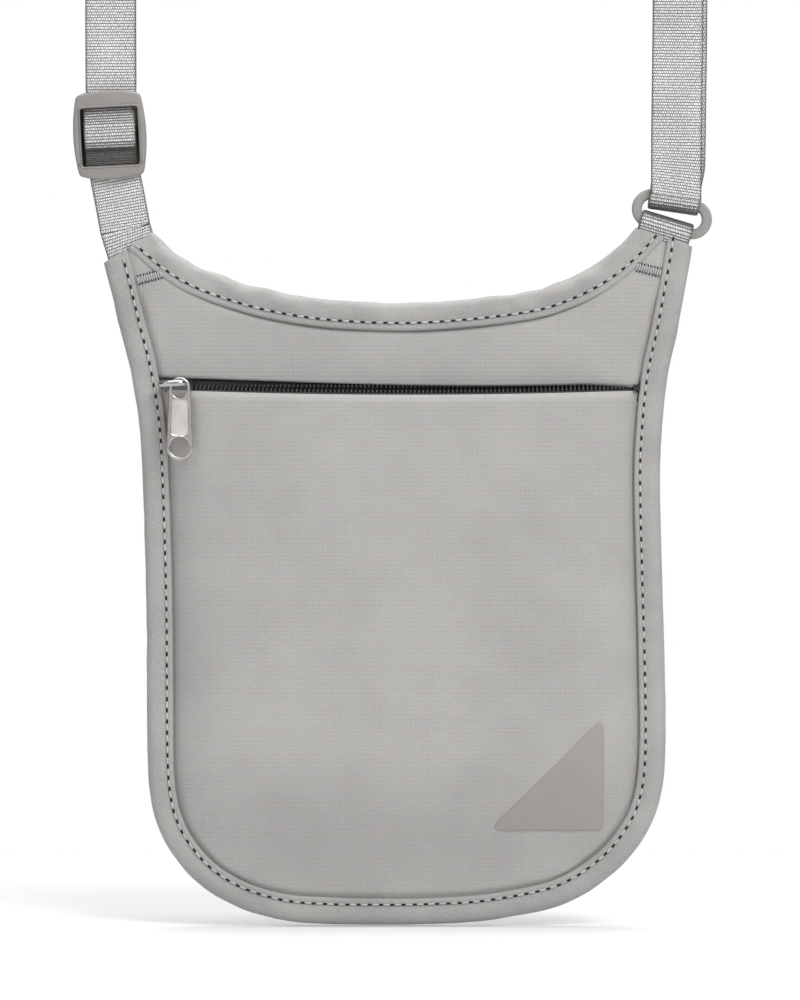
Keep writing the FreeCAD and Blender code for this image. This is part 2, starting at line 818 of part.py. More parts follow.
def strap_sections(layer):
    """Rectangles across the strap along its route; layer 0 is the front one, layer 1 runs behind it."""
    path = tangent_path(STRAP_ROUTE)
    count = round(path.Length / SECTION_PITCH)
    spots = path.discretize(Number=count + 1)
    tilt_end = math.radians(size("ring_tilt"))
    sections = []
    for n, spot in enumerate(spots):
        ahead = spots[min(n + 1, count)]
        behind = spots[max(n - 1, 0)]
        along = (ahead - behind).normalize()
        turn = smooth((spot.z - TWIST_FROM) / (TWIST_TO - TWIST_FROM)) * math.pi / 2
        if along.z < 0 or (spot.x > 0 and spot.z > 400):
            turn = math.pi - turn
        across = Vector(math.cos(turn), -math.sin(turn), 0)
        across = (across - along * across.dot(along)).normalize()
        face = along.cross(across).normalize()
        offset = layer * LAYER_PITCH
        settle = 0.0
        if spot.x > 0 and spot.z < SETTLE_FROM:
            settle = smooth((SETTLE_FROM - spot.z) / (SETTLE_FROM - RING_END_Z))
            lean = tilt_end * settle
            across = Vector(-math.cos(lean), 0, math.sin(lean))
        wrap = size("ring_bar") / 2 + size("ring_play") + STRAP_SKIN / 2
        target = size("ring_y") + (wrap if layer else -wrap)
        centre = spot + face * offset
        if settle:
            centre = Vector(spot.x, offset + (target - offset) * settle, spot.z)
            face = Vector(0, 1, 0)
        sections.append((centre, across, face))
    return sections


def webbing(label, sections):
    """A strip of webbing through the sections."""
    outlines = []
    for centre, across, face in sections:
        wide = across * STRAP_HALF
        thick = face * (STRAP_SKIN / 2)
        front = [centre - wide - thick, centre + wide - thick]
        outlines.append([*front, centre + wide + thick, centre - wide + thick])
    shape = ruled_solid(outlines)
    length = sum((b[0] - a[0]).Length for a, b in zip(sections, sections[1:]))
    expected = length * size("strap_width") * STRAP_SKIN
    print(f"{label}: {length:.1f} mm long, volume {shape.Volume:.0f} against {expected:.0f}")
    feature = doc.addObject("Part::Feature", label)
    feature.Shape = shape
    return named(feature, label)


def make_strap():
    webbing("strap_front", strap_sections(0))
    rear = strap_sections(1)
    split = size("return_split_z")
    upper = [s for s in rear if s[0].x > 0 or s[0].z > split]
    joint = (Vector(upper[0][0].x, upper[0][0].y, split), upper[0][1], Vector(0, 1, 0))
    webbing("strap_return", [joint, *upper])
    foot_z = size("adjuster_z") + size("wrap_top") + 1.0
    x = size("adjuster_x") + 0.1
    rows = 4
    levels = [foot_z + (split - SEWN_GAP - foot_z) * n / rows for n in range(rows + 1)]
    lower = [(Vector(x, LAYER_PITCH, z), Vector(1, 0, 0), Vector(0, 1, 0)) for z in levels]
    webbing("strap_return_left", lower)


def bent_webbing(label, edges, placement):
    """Webbing bent round a bar: its section in Y and Z, padded both ways across the strap's width."""
    body = new_body(label)
    sketch = new_sketch(body, label + "_section", "YZ_Plane")
    sketch.addGeometry(edges, False)
    add_pad(body, sketch, "dims.strap_width", True)
    return named(body, label, placement)


def ring_place(rise):
    """The ring's own tilted frame, raised by rise along its short axis."""
    tilt = Rotation(Vector(0, 1, 0), size("ring_tilt"))
    centre = Vector(size("ring_x"), size("ring_y"), size("ring_z"))
    return Placement(centre + tilt.multVec(Vector(0, 0, rise)), tilt)


def make_ring():
    body = new_body("ring")
    half_long, half_high = size("ring_length") / 2, size("ring_height") / 2
    sketch = front_sketch(body, "ring_outline", size("ring_skin") / 2)
    for shrink in (0.0, size("ring_bar")):
        r = half_high - shrink
        run = half_long - half_high
        sketch.addGeometry(
            [
                line((-run, r), (run, r)),
                arc_through((run, r), (run + r, 0), (run, -r)),
                line((run, -r), (-run, -r)),
                arc_through((-run, -r), (-run - r, 0), (-run, r)),
            ],
            False,
        )
    pad = add_pad(body, sketch, "dims.ring_skin")
    doc.recompute()
    rounded = body.newObject("PartDesign::Fillet", "ring_edges")
    flat = size("ring_skin") / 2 - 1e-3
    names = [
        f"Edge{n}"
        for n, edge in enumerate(pad.Shape.Edges, start=1)
        if min(abs(v.Point.y) for v in edge.Vertexes) > flat and edge.BoundBox.YLength < 1e-3
    ]
    rounded.Base = (pad, names)
    rounded.Radius = 0.7
    body.Tip = rounded
    return named(body, "ring", ring_place(0.0))


def make_ring_webbing():
    """The strap's turn round the ring's upper bar and the horn's loop round its lower bar."""
    inner = size("ring_bar") / 2 + size("ring_play")
    outer = inner + STRAP_SKIN
    bar = (size("ring_height") - size("ring_bar")) / 2
    turn = [
        arc_through((-outer, 0), (0, -outer), (outer, 0)),
        line((outer, 0), (inner, 0)),
        arc_through((inner, 0), (0, -inner), (-inner, 0)),
        line((-inner, 0), (-outer, 0)),
    ]
    bent_webbing("ring_turn", turn, ring_place(bar))
    drop, foot_outer, foot_inner, foot_skin = -3.0, 1.9, 0.9, 0.7
    loop = [
        arc_through((outer, 0), (0, outer), (-outer, 0)),
        line((-outer, 0), (-foot_outer, drop)),
        line((-foot_outer, drop), (foot_outer, drop)),
        line((foot_outer, drop), (outer, 0)),
        arc_through((inner, 0), (0, inner), (-inner, 0)),
        line((-inner, 0), (-foot_inner, drop + foot_skin)),
        line((-foot_inner, drop + foot_skin), (foot_inner, drop + foot_skin)),
        line((foot_inner, drop + foot_skin), (inner, 0)),
    ]
    bent_webbing("anchor_loop", loop, ring_place(-bar))


# The tails' corners as x and z: from the swing line down inside each horn.
LEFT_TAIL = [(-85.45, 196.9), (-71.15, 196.9), (-69.65, 184.0), (-79.55, 184.0)]
RIGHT_TAIL = [(71.2, 195.4), (82.0, 192.2), (79.0, 182.0), (72.4, 184.0)]


def make_tails():
    """The webbing ends sewn into the horns, on the pouch's side of the swing line."""
    plate("strap_tail", polyline(LEFT_TAIL), STRAP_SKIN / 2, "dims.strap_skin")
    plate("anchor_tail", polyline(RIGHT_TAIL), STRAP_SKIN / 2, "dims.strap_skin")


# ---- adjuster ------------------------------------------------------------------------------------


def adjuster_place():
    tilt = Rotation(Vector(0, 1, 0), -size("adjuster_tilt"))
    return Placement(Vector(size("adjuster_x"), 0, size("adjuster_z")), tilt)


def barrel_outline(half_wide, half_high, crown, belly):
    """Four bowed sides: the ends rise by crown, the flanks swell by belly."""
    w, t = half_wide - belly, half_high - crown
    return [
        arc_through((-w, t), (0, half_high), (w, t)),
        arc_through((w, t), (half_wide, 0), (w, -t)),
        arc_through((w, -t), (0, -half_high), (-w, -t)),
        arc_through((-w, -t), (-half_wide, 0), (-w, t)),
    ]


def make_adjuster():
    body = new_body("adjuster_frame")
    half_wide, half_high = size("adjuster_width") / 2, size("adjuster_height") / 2
    window = size("adjuster_window") / 2
    front = size("adjuster_front")
    frame = front_sketch(body, "adjuster_outline", front)
    crown, belly = size("adjuster_crown"), size("adjuster_belly")
    frame.addGeometry(barrel_outline(half_wide, half_high, crown, belly), False)
    corners = [(-window, -window), (window, -window), (window, window), (-window, window)]
    frame.addGeometry(polyline(corners), False)
    add_pad(body, frame, "dims.adjuster_skin")
    doc.recompute()
    bar_back = size("centre_bar_y") + size("centre_bar_skin") / 2
    for name, side in (("left", -1), ("right", 1)):
        cheek = front_sketch(body, f"adjuster_{name}_cheek", bar_back)
        near, far = side * (window + 0.02), side * (half_wide - 0.5)
        high = size("centre_bar_height")
        cheek.addGeometry(polyline([(near, -high), (far, -high), (far, high), (near, high)]), False)
        add_pad(body, cheek, bar_back - front)
    bar = front_sketch(body, "adjuster_centre_bar", bar_back)
    bound_rectangle(bar, (0.0, 0.0), "dims.adjuster_window + 0.4", "dims.centre_bar_height")
    add_pad(body, bar, "dims.centre_bar_skin")
    return named(body, "adjuster_frame", adjuster_place())


def make_adjuster_webbing():
    """The strap's end sewn round the centre bar, and the front layer's bend over it."""
    y = size("centre_bar_y")
    skin, top = size("wrap_skin"), size("wrap_top")
    turn_z, end_z, seam_z, lap = -1.0, 5.0, 2.6, 1.2
    near = LAYER_PITCH - STRAP_SKIN / 2
    far = 2 * y - near
    wrap = [
        line((near, top), (near, turn_z)),
        arc_through((near, turn_z), (y, turn_z - (y - near)), (far, turn_z)),
        line((far, turn_z), (far, end_z)),
        line((far, end_z), (near + lap, top)),
        line((near + lap, top), (near, top)),
    ]
    inner_near, inner_far = near + skin, far - skin
    wrap += [
        line((inner_near, seam_z), (inner_near, turn_z)),
        arc_through((inner_near, turn_z), (y, turn_z - (y - inner_near)), (inner_far, turn_z)),
        line((inner_far, turn_z), (inner_far, seam_z)),
        line((inner_far, seam_z), (inner_near, seam_z)),
    ]
    bent_webbing("bar_wrap", wrap, adjuster_place())
    bend_y, bend_top, bend_foot = -0.85, 7.6, -5.4
    crest = (-2.9, 1.2)
    bend = [
        arc_through((bend_y, bend_top), crest, (bend_y, bend_foot)),
        line((bend_y, bend_foot), (bend_y, bend_top)),
    ]
    bent_webbing("strap_over_bar", bend, adjuster_place())


make_panels()
make_card_slip()
make_bindings()
make_zip()
make_zip_stops()
make_slider()
make_pull()
make_patch()
make_bar_tacks()
make_strap()
make_ring()
make_ring_webbing()
make_tails()
make_adjuster()
make_adjuster_webbing()
doc.recompute()

for obj in doc.Objects:
    if "Invalid" in obj.State or "Error" in obj.State:
        raise RuntimeError(f"{obj.Label} failed: {obj.State}")
for node in nodes:
    if node.Shape.isNull() or not node.Shape.isValid():
        raise RuntimeError(f"{node.Label} has no valid shape")

os.makedirs("parts", exist_ok=True)
for node in nodes:
    node.Shape.exportStep(f"parts/{node.Label}.step")
    box = node.Shape.BoundBox
    print(
        f"{node.Label}: {node.Shape.Volume:.1f} mm3, x {box.XMin:.1f} to {box.XMax:.1f}, "
        f"y {box.YMin:.2f} to {box.YMax:.2f}, z {box.ZMin:.1f} to {box.ZMax:.1f}"
    )
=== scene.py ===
import math

import bmesh
import bpy
import numpy as np
from mathutils import Matrix, Vector, noise


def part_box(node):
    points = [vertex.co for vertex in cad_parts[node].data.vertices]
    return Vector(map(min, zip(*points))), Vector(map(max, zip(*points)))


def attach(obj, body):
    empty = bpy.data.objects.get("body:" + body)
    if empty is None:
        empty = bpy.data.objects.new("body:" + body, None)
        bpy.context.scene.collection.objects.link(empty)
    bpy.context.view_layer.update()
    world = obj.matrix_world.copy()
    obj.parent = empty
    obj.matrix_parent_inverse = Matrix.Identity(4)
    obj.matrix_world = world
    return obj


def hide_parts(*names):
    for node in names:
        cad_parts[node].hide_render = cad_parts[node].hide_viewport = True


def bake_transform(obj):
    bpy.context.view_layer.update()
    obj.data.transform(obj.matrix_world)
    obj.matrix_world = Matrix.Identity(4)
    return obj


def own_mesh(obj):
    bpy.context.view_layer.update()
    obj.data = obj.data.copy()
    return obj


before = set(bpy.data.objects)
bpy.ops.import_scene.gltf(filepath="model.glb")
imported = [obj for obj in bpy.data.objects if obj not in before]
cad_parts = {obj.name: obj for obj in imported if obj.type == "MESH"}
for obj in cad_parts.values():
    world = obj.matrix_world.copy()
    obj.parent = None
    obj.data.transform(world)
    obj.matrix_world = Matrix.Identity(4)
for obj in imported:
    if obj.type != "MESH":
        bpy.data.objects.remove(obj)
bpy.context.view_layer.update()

# Neck pouch wallet: a zipped fabric pouch bound round its edge, on a webbing strap with a cast ring
# and a cast adjuster. Pieces are drawn in millimetres with the pouch's foot at z = 0 and its middle at
# x = 0, and place() moves them to the part's own frame in metres.

MM = 0.001
FOOT_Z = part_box("side_binding")[0][2]


def place(points):
    """Drawing millimetres to metres in the part's frame."""
    return np.asarray(points, dtype=float) * MM + np.array([0.0, 0.0, FOOT_Z])


def smooth(t):
    """Eases from 0 to 1 as t does, and holds outside that."""
    t = min(max(t, 0.0), 1.0)
    return t * t * (3 - 2 * t)


# ---- sizes, in millimetres -----------------------------------------------------------------------

# The pouch's outer edge from the left horn round the foot to the right horn, as x and z.
OUTLINE = [
    (-87.3, 196.0), (-85.0, 189.0), (-82.6, 179.5), (-80.4, 170.3), (-77.6, 159.3), (-75.4, 147.0),
    (-74.3, 135.1), (-73.4, 112.0), (-72.8, 87.1), (-72.7, 62.0), (-72.5, 47.0), (-71.9, 38.4),
    (-70.4, 30.6), (-67.1, 22.9), (-61.4, 15.2), (-54.6, 9.3), (-45.5, 4.6), (-33.9, 1.4),
    (-22.1, 0.35), (-8.0, 0.12), (6.0, 0.25), (22.7, 1.1), (40.3, 4.1), (48.6, 6.9), (55.6, 10.9),
    (63.4, 17.4), (69.2, 24.9), (72.7, 32.0), (74.8, 41.0), (75.5, 54.0), (75.2, 75.5), (74.5, 100.0),
    (73.9, 127.1), (74.5, 142.0), (76.0, 156.4), (78.5, 168.0), (81.2, 182.5), (83.1, 193.6),
    (84.2, 200.5),
]
# The neckline's outer edge from the left horn to the right one.
NECKLINE = [
    (-77.5, 202.6), (-71.1, 197.8), (-66.0, 193.3), (-58.7, 188.5), (-49.0, 184.6), (-36.0, 181.0),
    (-20.0, 178.6), (0.0, 177.7), (17.0, 178.6), (30.5, 180.1), (39.0, 181.6), (45.2, 183.7),
    (50.9, 186.2), (57.0, 189.9), (62.7, 194.6), (67.4, 199.6), (71.8, 204.6),
]
HORN_CUTS = [((-85.0, 189.0), (-71.1, 197.8)), ((66.9, 199.3), (83.1, 193.7))]
BAND = 7.5
NECK_BAND = 8.0
STITCH_INSET = 5.8
STITCH_PITCH = 3.2
PANEL_Y = -1.35
BULGE = 7.3
LINE_STEP = 0.8
SHELL_DEPTH = 0.5
LINING_DEPTH = 0.2
TAPE_DEPTH = 0.4

# The strap's front layer, from the left horn over the neck and down to the ring, as x and z.
STRAP_ROUTE = [
    (-78.9, 199.0), (-80.3, 206.8), (-82.2, 216.0), (-83.1, 226.0), (-83.1, 352.0), (-82.3, 405.0),
    (-77.3, 455.0), (-62.0, 494.0), (-30.0, 517.0), (26.0, 517.0), (58.5, 494.0), (74.3, 455.0),
    (79.0, 405.0), (79.3, 345.0), (79.1, 262.0), (78.6, 228.0), (78.4, 207.2),
]
# Heights between which the strap makes its quarter turn, and comes to lie against the ring.
TWIST_FROM, TWIST_TO = 360.0, 500.0
SETTLE_FROM, SETTLE_TO = 228.0, 207.2
STRAP_END = 207.4
STRAP_WIDTH = 14.5
STRAP_SKIN = 1.0
LAYER_PITCH = 1.3
RIB_PITCH = 0.82
RIB_HEIGHT = 0.07
RETURN_SPLIT = 350.0
RETURN_FOOT = 239.6
RING_AT = (77.3, 0.65, 203.1)
RING_TILT = math.radians(15.0)
RING_HALF = (11.65, 5.65)
RING_BAR = 2.9
RING_DEPTH = 2.4
# The strap's middle stands this far from the ring bar's middle, with 0.9 of air between them.
WRAP = RING_BAR / 2 + 0.9 + STRAP_SKIN / 2
STRAP_LEAN = math.radians(8.5)
LOOP_LEAN = math.radians(16.8)
ADJUSTER_AT = (-83.2, 0.0, 225.6)
ADJUSTER_TILT = math.radians(-2.8)


# ---- finishes ------------------------------------------------------------------------------------


def linear(hex_text):
    """An sRGB hex colour as the linear one that a shader takes."""
    parts = [int(hex_text[n : n + 2], 16) / 255 for n in (1, 3, 5)]
    return [c / 12.92 if c <= 0.04045 else ((c + 0.055) / 1.055) ** 2.4 for c in parts] + [1.0]


def add_node(tree, kind, inputs=None, **settings):
    """Adds a node with its settings, its values and its links."""
    node = tree.nodes.new(kind)
    for name, value in settings.items():
        setattr(node, name, value)
    for socket, value in (inputs or {}).items():
        if isinstance(value, bpy.types.NodeSocket):
            tree.links.new(value, node.inputs[socket])
        else:
            node.inputs[socket].default_value = value
    return node


def set_tones(ramp, *stops):
    """Sets a ramp's two ends, each a place on it and an sRGB hex colour."""
    for element, (spot, colour) in zip(ramp.color_ramp.elements, stops):
        element.position = spot
        element.color = linear(colour)


def start_material(name, roughness, **values):
    """A material with its principled shader's own values set."""
    material = bpy.data.materials.new(name)
    material.use_nodes = True
    tree = material.node_tree
    shader = tree.nodes["Principled BSDF"]
    shader.inputs["Roughness"].default_value = roughness
    for socket, value in values.items():
        shader.inputs[socket.replace("_", " ")].default_value = value
    return material, tree, shader


# A row of this length has no cells along it on any piece.
ENDLESS = 400.0


def cloth(
    name, dark, light, cell, mortar, roughness, relief,
    offset=0.0, mottle=0.5, uv=False, sheen=0.1, depth=0.55, rib=0.0, turn=0.0,
):
    """A weave of cells in millimetres, darker between them by depth, under a soft mottle.

    rib darkens its rows, and turn paints shade on it by the piece's own "bend" attribute, which says how far
    the surface leaves its flat lay: the more it bends, the darker the painted shade.
    """
    material, tree, shader = start_material(name, roughness, Sheen_Weight=sheen, Sheen_Roughness=0.5)
    coords = add_node(tree, "ShaderNodeTexCoord")
    if uv:
        spot = coords.outputs["UV"]
    else:
        turned = {"Rotation": (-math.pi / 2, 0, 0), "Scale": [1 / MM] * 3}
        spot = add_node(
            tree, "ShaderNodeMapping", {"Vector": coords.outputs["Object"], **turned}
        ).outputs["Vector"]
    weave, rows = (
        add_node(
            tree,
            "ShaderNodeTexBrick",
            {
                "Vector": spot,
                "Scale": 1.0,
                "Brick Width": length,
                "Row Height": cell[1],
                "Mortar Size": gap,
                "Mortar Smooth": 1.0,
            },
            offset=shift,
        )
        for length, gap, shift in ((cell[0], mortar, offset), (ENDLESS, cell[1] * 0.3, 0.0))
    )
    gaps = add_node(
        tree,
        "ShaderNodeMath",
        {0: rows.outputs["Fac"], 1: rib, 2: weave.outputs["Fac"]},
        operation="MULTIPLY_ADD",
    )
    # Painted shade: the "bend" attribute darkens the cloth where it bends from its flat lay.
    painted_bend_shade = add_node(tree, "ShaderNodeAttribute", attribute_name="bend")
    shade = add_node(
        tree,
        "ShaderNodeMath",
        {0: painted_bend_shade.outputs["Fac"], 1: turn, 2: gaps.outputs["Value"]},
        operation="MULTIPLY_ADD",
    )
    fine = add_node(tree, "ShaderNodeTexNoise", {"Vector": spot, "Scale": 1.7, "Detail": 3.0})
    broad = add_node(tree, "ShaderNodeTexNoise", {"Vector": spot, "Scale": 0.045, "Detail": 2.0})
    blend = add_node(
        tree,
        "ShaderNodeMix",
        {"Factor": mottle, "A": fine.outputs["Fac"], "B": broad.outputs["Fac"]},
    )
    shade = add_node(
        tree,
        "ShaderNodeMath",
        {0: shade.outputs["Value"], 1: -depth, 2: blend.outputs["Result"]},
        operation="MULTIPLY_ADD",
    )
    ramp = add_node(tree, "ShaderNodeValToRGB", {"Fac": shade.outputs["Value"]})
    set_tones(ramp, (0.05, dark), (0.62, light))
    height = add_node(
        tree,
        "ShaderNodeMath",
        {0: gaps.outputs["Value"], 1: -1.0, 2: fine.outputs["Fac"]},
        operation="MULTIPLY_ADD",
    )
    bump = add_node(
        tree, "ShaderNodeBump", {"Strength": 0.6, "Distance": relief * MM, "Height": height.outputs["Value"]}
    )
    tree.links.new(ramp.outputs["Color"], shader.inputs["Base Color"])
    tree.links.new(bump.outputs["Normal"], shader.inputs["Normal"])
    return material


def cast(name, dark, light, roughness, metallic, grain, relief, coat=0.0):
    """A cast or pressed surface: a fine grain in its colour, gloss and relief."""
    material, tree, shader = start_material(name, roughness, Metallic=metallic, Coat_Weight=coat)
    coords = add_node(tree, "ShaderNodeTexCoord")
    grains = add_node(
        tree, "ShaderNodeTexNoise", {"Vector": coords.outputs["Object"], "Scale": 1000 / grain, "Detail": 2.0}
    )
    wear = add_node(tree, "ShaderNodeTexNoise", {"Vector": coords.outputs["Object"], "Scale": 180.0})
    shade = add_node(
        tree,
        "ShaderNodeMix",
        {"Factor": 0.5, "A": grains.outputs["Fac"], "B": wear.outputs["Fac"]},
    )
    ramp = add_node(tree, "ShaderNodeValToRGB", {"Fac": shade.outputs["Result"]})
    set_tones(ramp, (0.3, dark), (0.7, light))
    gloss = add_node(
        tree,
        "ShaderNodeMapRange",
        {"Value": wear.outputs["Fac"], "To Min": roughness * 0.8, "To Max": roughness * 1.2},
    )
    bump = add_node(
        tree, "ShaderNodeBump", {"Strength": 0.5, "Distance": relief * MM, "Height": grains.outputs["Fac"]}
    )
    tree.links.new(ramp.outputs["Color"], shader.inputs["Base Color"])
    tree.links.new(gloss.outputs["Result"], shader.inputs["Roughness"])
    tree.links.new(bump.outputs["Normal"], shader.inputs["Normal"])
    return material


# Nylon dobby: a satin face with a faint grid of cells about 1.3 mm across.
SHELL = cloth(
    "Nylon dobby shell", "#8a8886", "#a19f9d", (1.25, 1.25), 0.2, 0.6, 0.04, mottle=0.5, depth=0.075, rib=0.5
)
# Fine plain-woven nylon cut on the bias: no grid to see, only its grain.
BINDING = cloth(
    "Nylon bias binding", "#7d7b79", "#a19f9d", (0.6, 0.5), 0.1, 0.64, 0.06, 0.5, mottle=0.55, depth=0.14
)
# Thin polyester taffeta, dull and dark inside the pocket.
LINING = cloth("Polyester taffeta lining", "#5e5d5c", "#6d6c6b", (0.5, 0.5), 0.1, 0.75, 0.02, 0.5)
# Black polyester zip tape, its ribs 0.8 mm apart.
TAPE = cloth("Woven zip tape", "#0a0a0b", "#2a2a2b", (0.8, 0.5), 0.15, 0.7, 0.06, 0.5)
# Glossy nylon webbing: warp floats half a millimetre wide that cross a weft rib every 0.82 mm.
# Its turn paints shade on it, darker where it bends from its flat lay.
WEBBING = cloth(
    "Nylon webbing", "#565453", "#ffffff", (0.5, RIB_PITCH), 0.17, 0.34, 0.1,
    offset=0.5, mottle=0.25, uv=True, sheen=0.0, depth=0.5, rib=0.35, turn=3.6,
)
# Painted shade: a dark copy of the webbing, for where it dives under the adjuster's frame, out of the light.
SHADED_WEBBING = cloth(
    "Nylon webbing in the frame", "#141313", "#6f6d6b", (0.4, 0.5), 0.12, 0.4, 0.08,
    offset=0.5, mottle=0.25, uv=True, sheen=0.0, depth=0.42, rib=0.5,
)
# Polyurethane-coated synthetic leather, matt, with a grain too fine to feel.
PATCH = cast("Coated synthetic leather", "#8b8785", "#908c8a", 0.6, 0.0, 0.25, 0.01)
# Twisted polyester sewing thread, paler than the cloth.
THREAD = cast("Polyester thread", "#9f9e9d", "#bdbcba", 0.5, 0.0, 0.3, 0.05)
# Painted shade: near-black beads for the needle's holes and the thread in their shade.
HOLE_SHADE = cast("Needle hole", "#0d0d0e", "#1a1a1b", 0.9, 0.0, 0.5, 0.01)
# Nylon monofilament coil, black with a dull shine.
COIL = cast("Nylon zip coil", "#101011", "#2b2b2d", 0.35, 0.0, 0.5, 0.02)
# Bright nickel-chrome plate over cast zinc.
CHROME = cast("Bright chrome plate", "#949496", "#bbbcbd", 0.12, 1.0, 0.6, 0.004)
# Satin nickel plate, tumbled to a soft shine.
NICKEL = cast("Satin nickel plate", "#d5cec7", "#ebe5e0", 0.34, 1.0, 0.3, 0.02)
# Polished edge of the same plate.
NICKEL_RIM = cast("Polished nickel plate", "#b4b0ad", "#c7c4c2", 0.26, 1.0, 0.5, 0.006)
# Cast zinc under a matt grey powder coat.
COATED = cast("Powder-coated cast zinc", "#7d7976", "#898581", 0.5, 0.0, 0.28, 0.03, 0.05)
# Painted shade: a near-black copy of the coat for the frame's back, where no light reaches it.
SHADED_COAT = cast("Powder coat inside the frame", "#131212", "#1d1b1b", 0.7, 0.0, 0.28, 0.02)
# The ring's coat is a little paler than the adjuster's.
RING_COAT = cast("Powder-coated ring", "#83817e", "#8e8d8a", 0.55, 0.0, 0.28, 0.03)


# ---- mesh tools ----------------------------------------------------------------------------------


def mesh_piece(name, points, faces, material, uv=None, shade=True):
    """A mesh object from drawing millimetres, with its faces turned outwards."""
    mesh = bpy.data.meshes.new(name)
    mesh.from_pydata([tuple(p) for p in place(points)], [], faces)
    if uv is not None:
        layer = mesh.uv_layers.new(name="tape")
        for loop in mesh.loops:
            layer.data[loop.index].uv = uv[loop.vertex_index]
    work = bmesh.new()
    work.from_mesh(mesh)
    bmesh.ops.recalc_face_normals(work, faces=work.faces)
    work.to_mesh(mesh)
    work.free()
    piece = bpy.data.objects.new(name, mesh)
    bpy.context.collection.objects.link(piece)
    mesh.materials.append(material)
    if shade:
        mesh.shade_smooth()
    return piece


def loft(name, rings, material, uv=None, closed=False, caps=True):
    """A skin through rings of equally many points; closed joins the last ring to the first."""
    rings = np.asarray(rings, dtype=float)
    count, around = rings.shape[:2]
    faces = []
    for n in range(count if closed else count - 1):
        here, there = n * around, (n + 1) % count * around
        for k in range(around):
            after = (k + 1) % around
            faces.append((here + k, here + after, there + after, there + k))
    if caps and not closed:
        faces.append(tuple(range(around)))
        faces.append(tuple(range((count - 1) * around, count * around)))
    return mesh_piece(name, rings.reshape(-1, 3), faces, material, uv)


def plain_mesh(piece):
    """Puts a piece's modifiers or curve into a plain mesh object of the same name."""
    graph = bpy.context.evaluated_depsgraph_get()
    graph.update()
    mesh = bpy.data.meshes.new_from_object(piece.evaluated_get(graph), depsgraph=graph)
    name, old = piece.name, piece.data
    if piece.type == "MESH":
        piece.modifiers.clear()
        piece.data = mesh
        bpy.data.meshes.remove(old)
        return piece
    bpy.data.objects.remove(piece)
    made = bpy.data.objects.new(name, mesh)
    bpy.context.collection.objects.link(made)
    return made


def thicken(piece, depth):
    """Gives a one-sided sheet its cloth thickness, behind the face that was drawn."""
    wall = piece.modifiers.new("cloth thickness", "SOLIDIFY")
    wall.thickness = depth * MM
    wall.offset = -1.0
    return plain_mesh(piece)


def horn_cut(piece):
    """Cuts a piece along the two horns' top edges and closes the cuts."""
    work = bmesh.new()
    work.from_mesh(piece.data)
    for (x0, z0), (x1, z1) in HORN_CUTS:
        spot = Vector(place([x0, 0.0, z0]))
        normal = Vector((z0 - z1, 0.0, x1 - x0)).normalized()
        cut = bmesh.ops.bisect_plane(
            work,
            geom=work.verts[:] + work.edges[:] + work.faces[:],
            plane_co=spot,
            plane_no=normal,
            clear_outer=True,
        )
        rim = [e for e in cut["geom_cut"] if isinstance(e, bmesh.types.BMEdge) and e.is_boundary]
        if rim:
            bmesh.ops.holes_fill(work, edges=rim, sides=0)
    bmesh.ops.recalc_face_normals(work, faces=work.faces)
    work.to_mesh(piece.data)
    work.free()
    return piece


def curve_through(points, step):
    """Points a step apart on a smooth line through the given ones."""
    pts = np.asarray(points, dtype=float)
    ends = np.vstack([2 * pts[0] - pts[1], pts, 2 * pts[-1] - pts[-2]])
    line = []
    for n in range(len(pts) - 1):
        a, b, c, d = ends[n : n + 4]
        square, cube = 2 * a - 5 * b + 4 * c - d, 3 * b - a - 3 * c + d
        for t in np.linspace(0, 1, 24, endpoint=False):
            line.append(0.5 * (2 * b + (c - a) * t + square * t**2 + cube * t**3))
    line.append(pts[-1])
    return spaced(np.array(line), step)


def spaced(line, step):
    """The same line with its points a step apart."""
    gone = np.concatenate([[0.0], np.cumsum(np.linalg.norm(np.diff(line, axis=0), axis=1))])
    marks = np.linspace(0, gone[-1], max(2, round(gone[-1] / step) + 1))
    return np.column_stack([np.interp(marks, gone, line[:, k]) for k in range(line.shape[1])])


def inward(line, reach=6):
    """Unit vectors across a line in x and z, to the left of its run."""
    ahead = np.roll(line, -reach, axis=0)
    behind = np.roll(line, reach, axis=0)
    ahead[-reach:] = line[-1]
    behind[:reach] = line[0]
    along = ahead - behind
    along /= np.linalg.norm(along, axis=1)[:, None]
    return np.column_stack([-along[:, 1], along[:, 0]])


def wobble(x, z, wave, seed=0.0):
    """A smooth unevenness with waves of about the given length; a seed has its own pattern."""
    return noise.noise(Vector((x / wave, z / wave, seed)))


# ---- pouch ---------------------------------------------------------------------------------------


EDGE = curve_through(OUTLINE, LINE_STEP)
EDGE_IN = inward(EDGE)
NECK = curve_through(NECKLINE, LINE_STEP)
NECK_IN = -inward(NECK)
MIDDLE = int(np.argmin(EDGE[:, 1]))


def half_edges(inset):
    """The left and right edge, set inwards, as functions of height."""
    line = EDGE + EDGE_IN * inset
    left, right = line[: MIDDLE + 1][::-1], line[MIDDLE:]
    low = max(left[0, 1], right[0, 1])

    def reach(z):
        z = max(z, low)
        return np.interp(z, left[:, 1], left[:, 0]), np.interp(z, right[:, 1], right[:, 0])

    return reach


# The panels show from the bands' folds inwards, and end under the bands.
TUCK_IN = 3.0
FOLD_IN = BAND + 0.3
FOLD = half_edges(FOLD_IN)
TUCK = half_edges(TUCK_IN)
NECK_TUCK = NECK + NECK_IN * TUCK_IN
FOOT_LINE = EDGE[(np.abs(EDGE[:, 0]) < 60) & (EDGE[:, 1] < 20)]
CREASE = 1.0


def crease(x, z):
    """How far a panel dips back beside the folded edge of the binding over it."""
    left, right = FOLD(z)
    above = z - np.interp(x, FOOT_LINE[:, 0], FOOT_LINE[:, 1]) - FOLD_IN
    below = neck_z(x) - (NECK_BAND - TUCK_IN) - z
    near = max(min(x - left, right - x, above, below), 0.0)
    low = 0.35 + 0.65 * smooth((184.0 - z) / 10.0)
    return CREASE * low * math.exp(-((near / 0.8) ** 2))


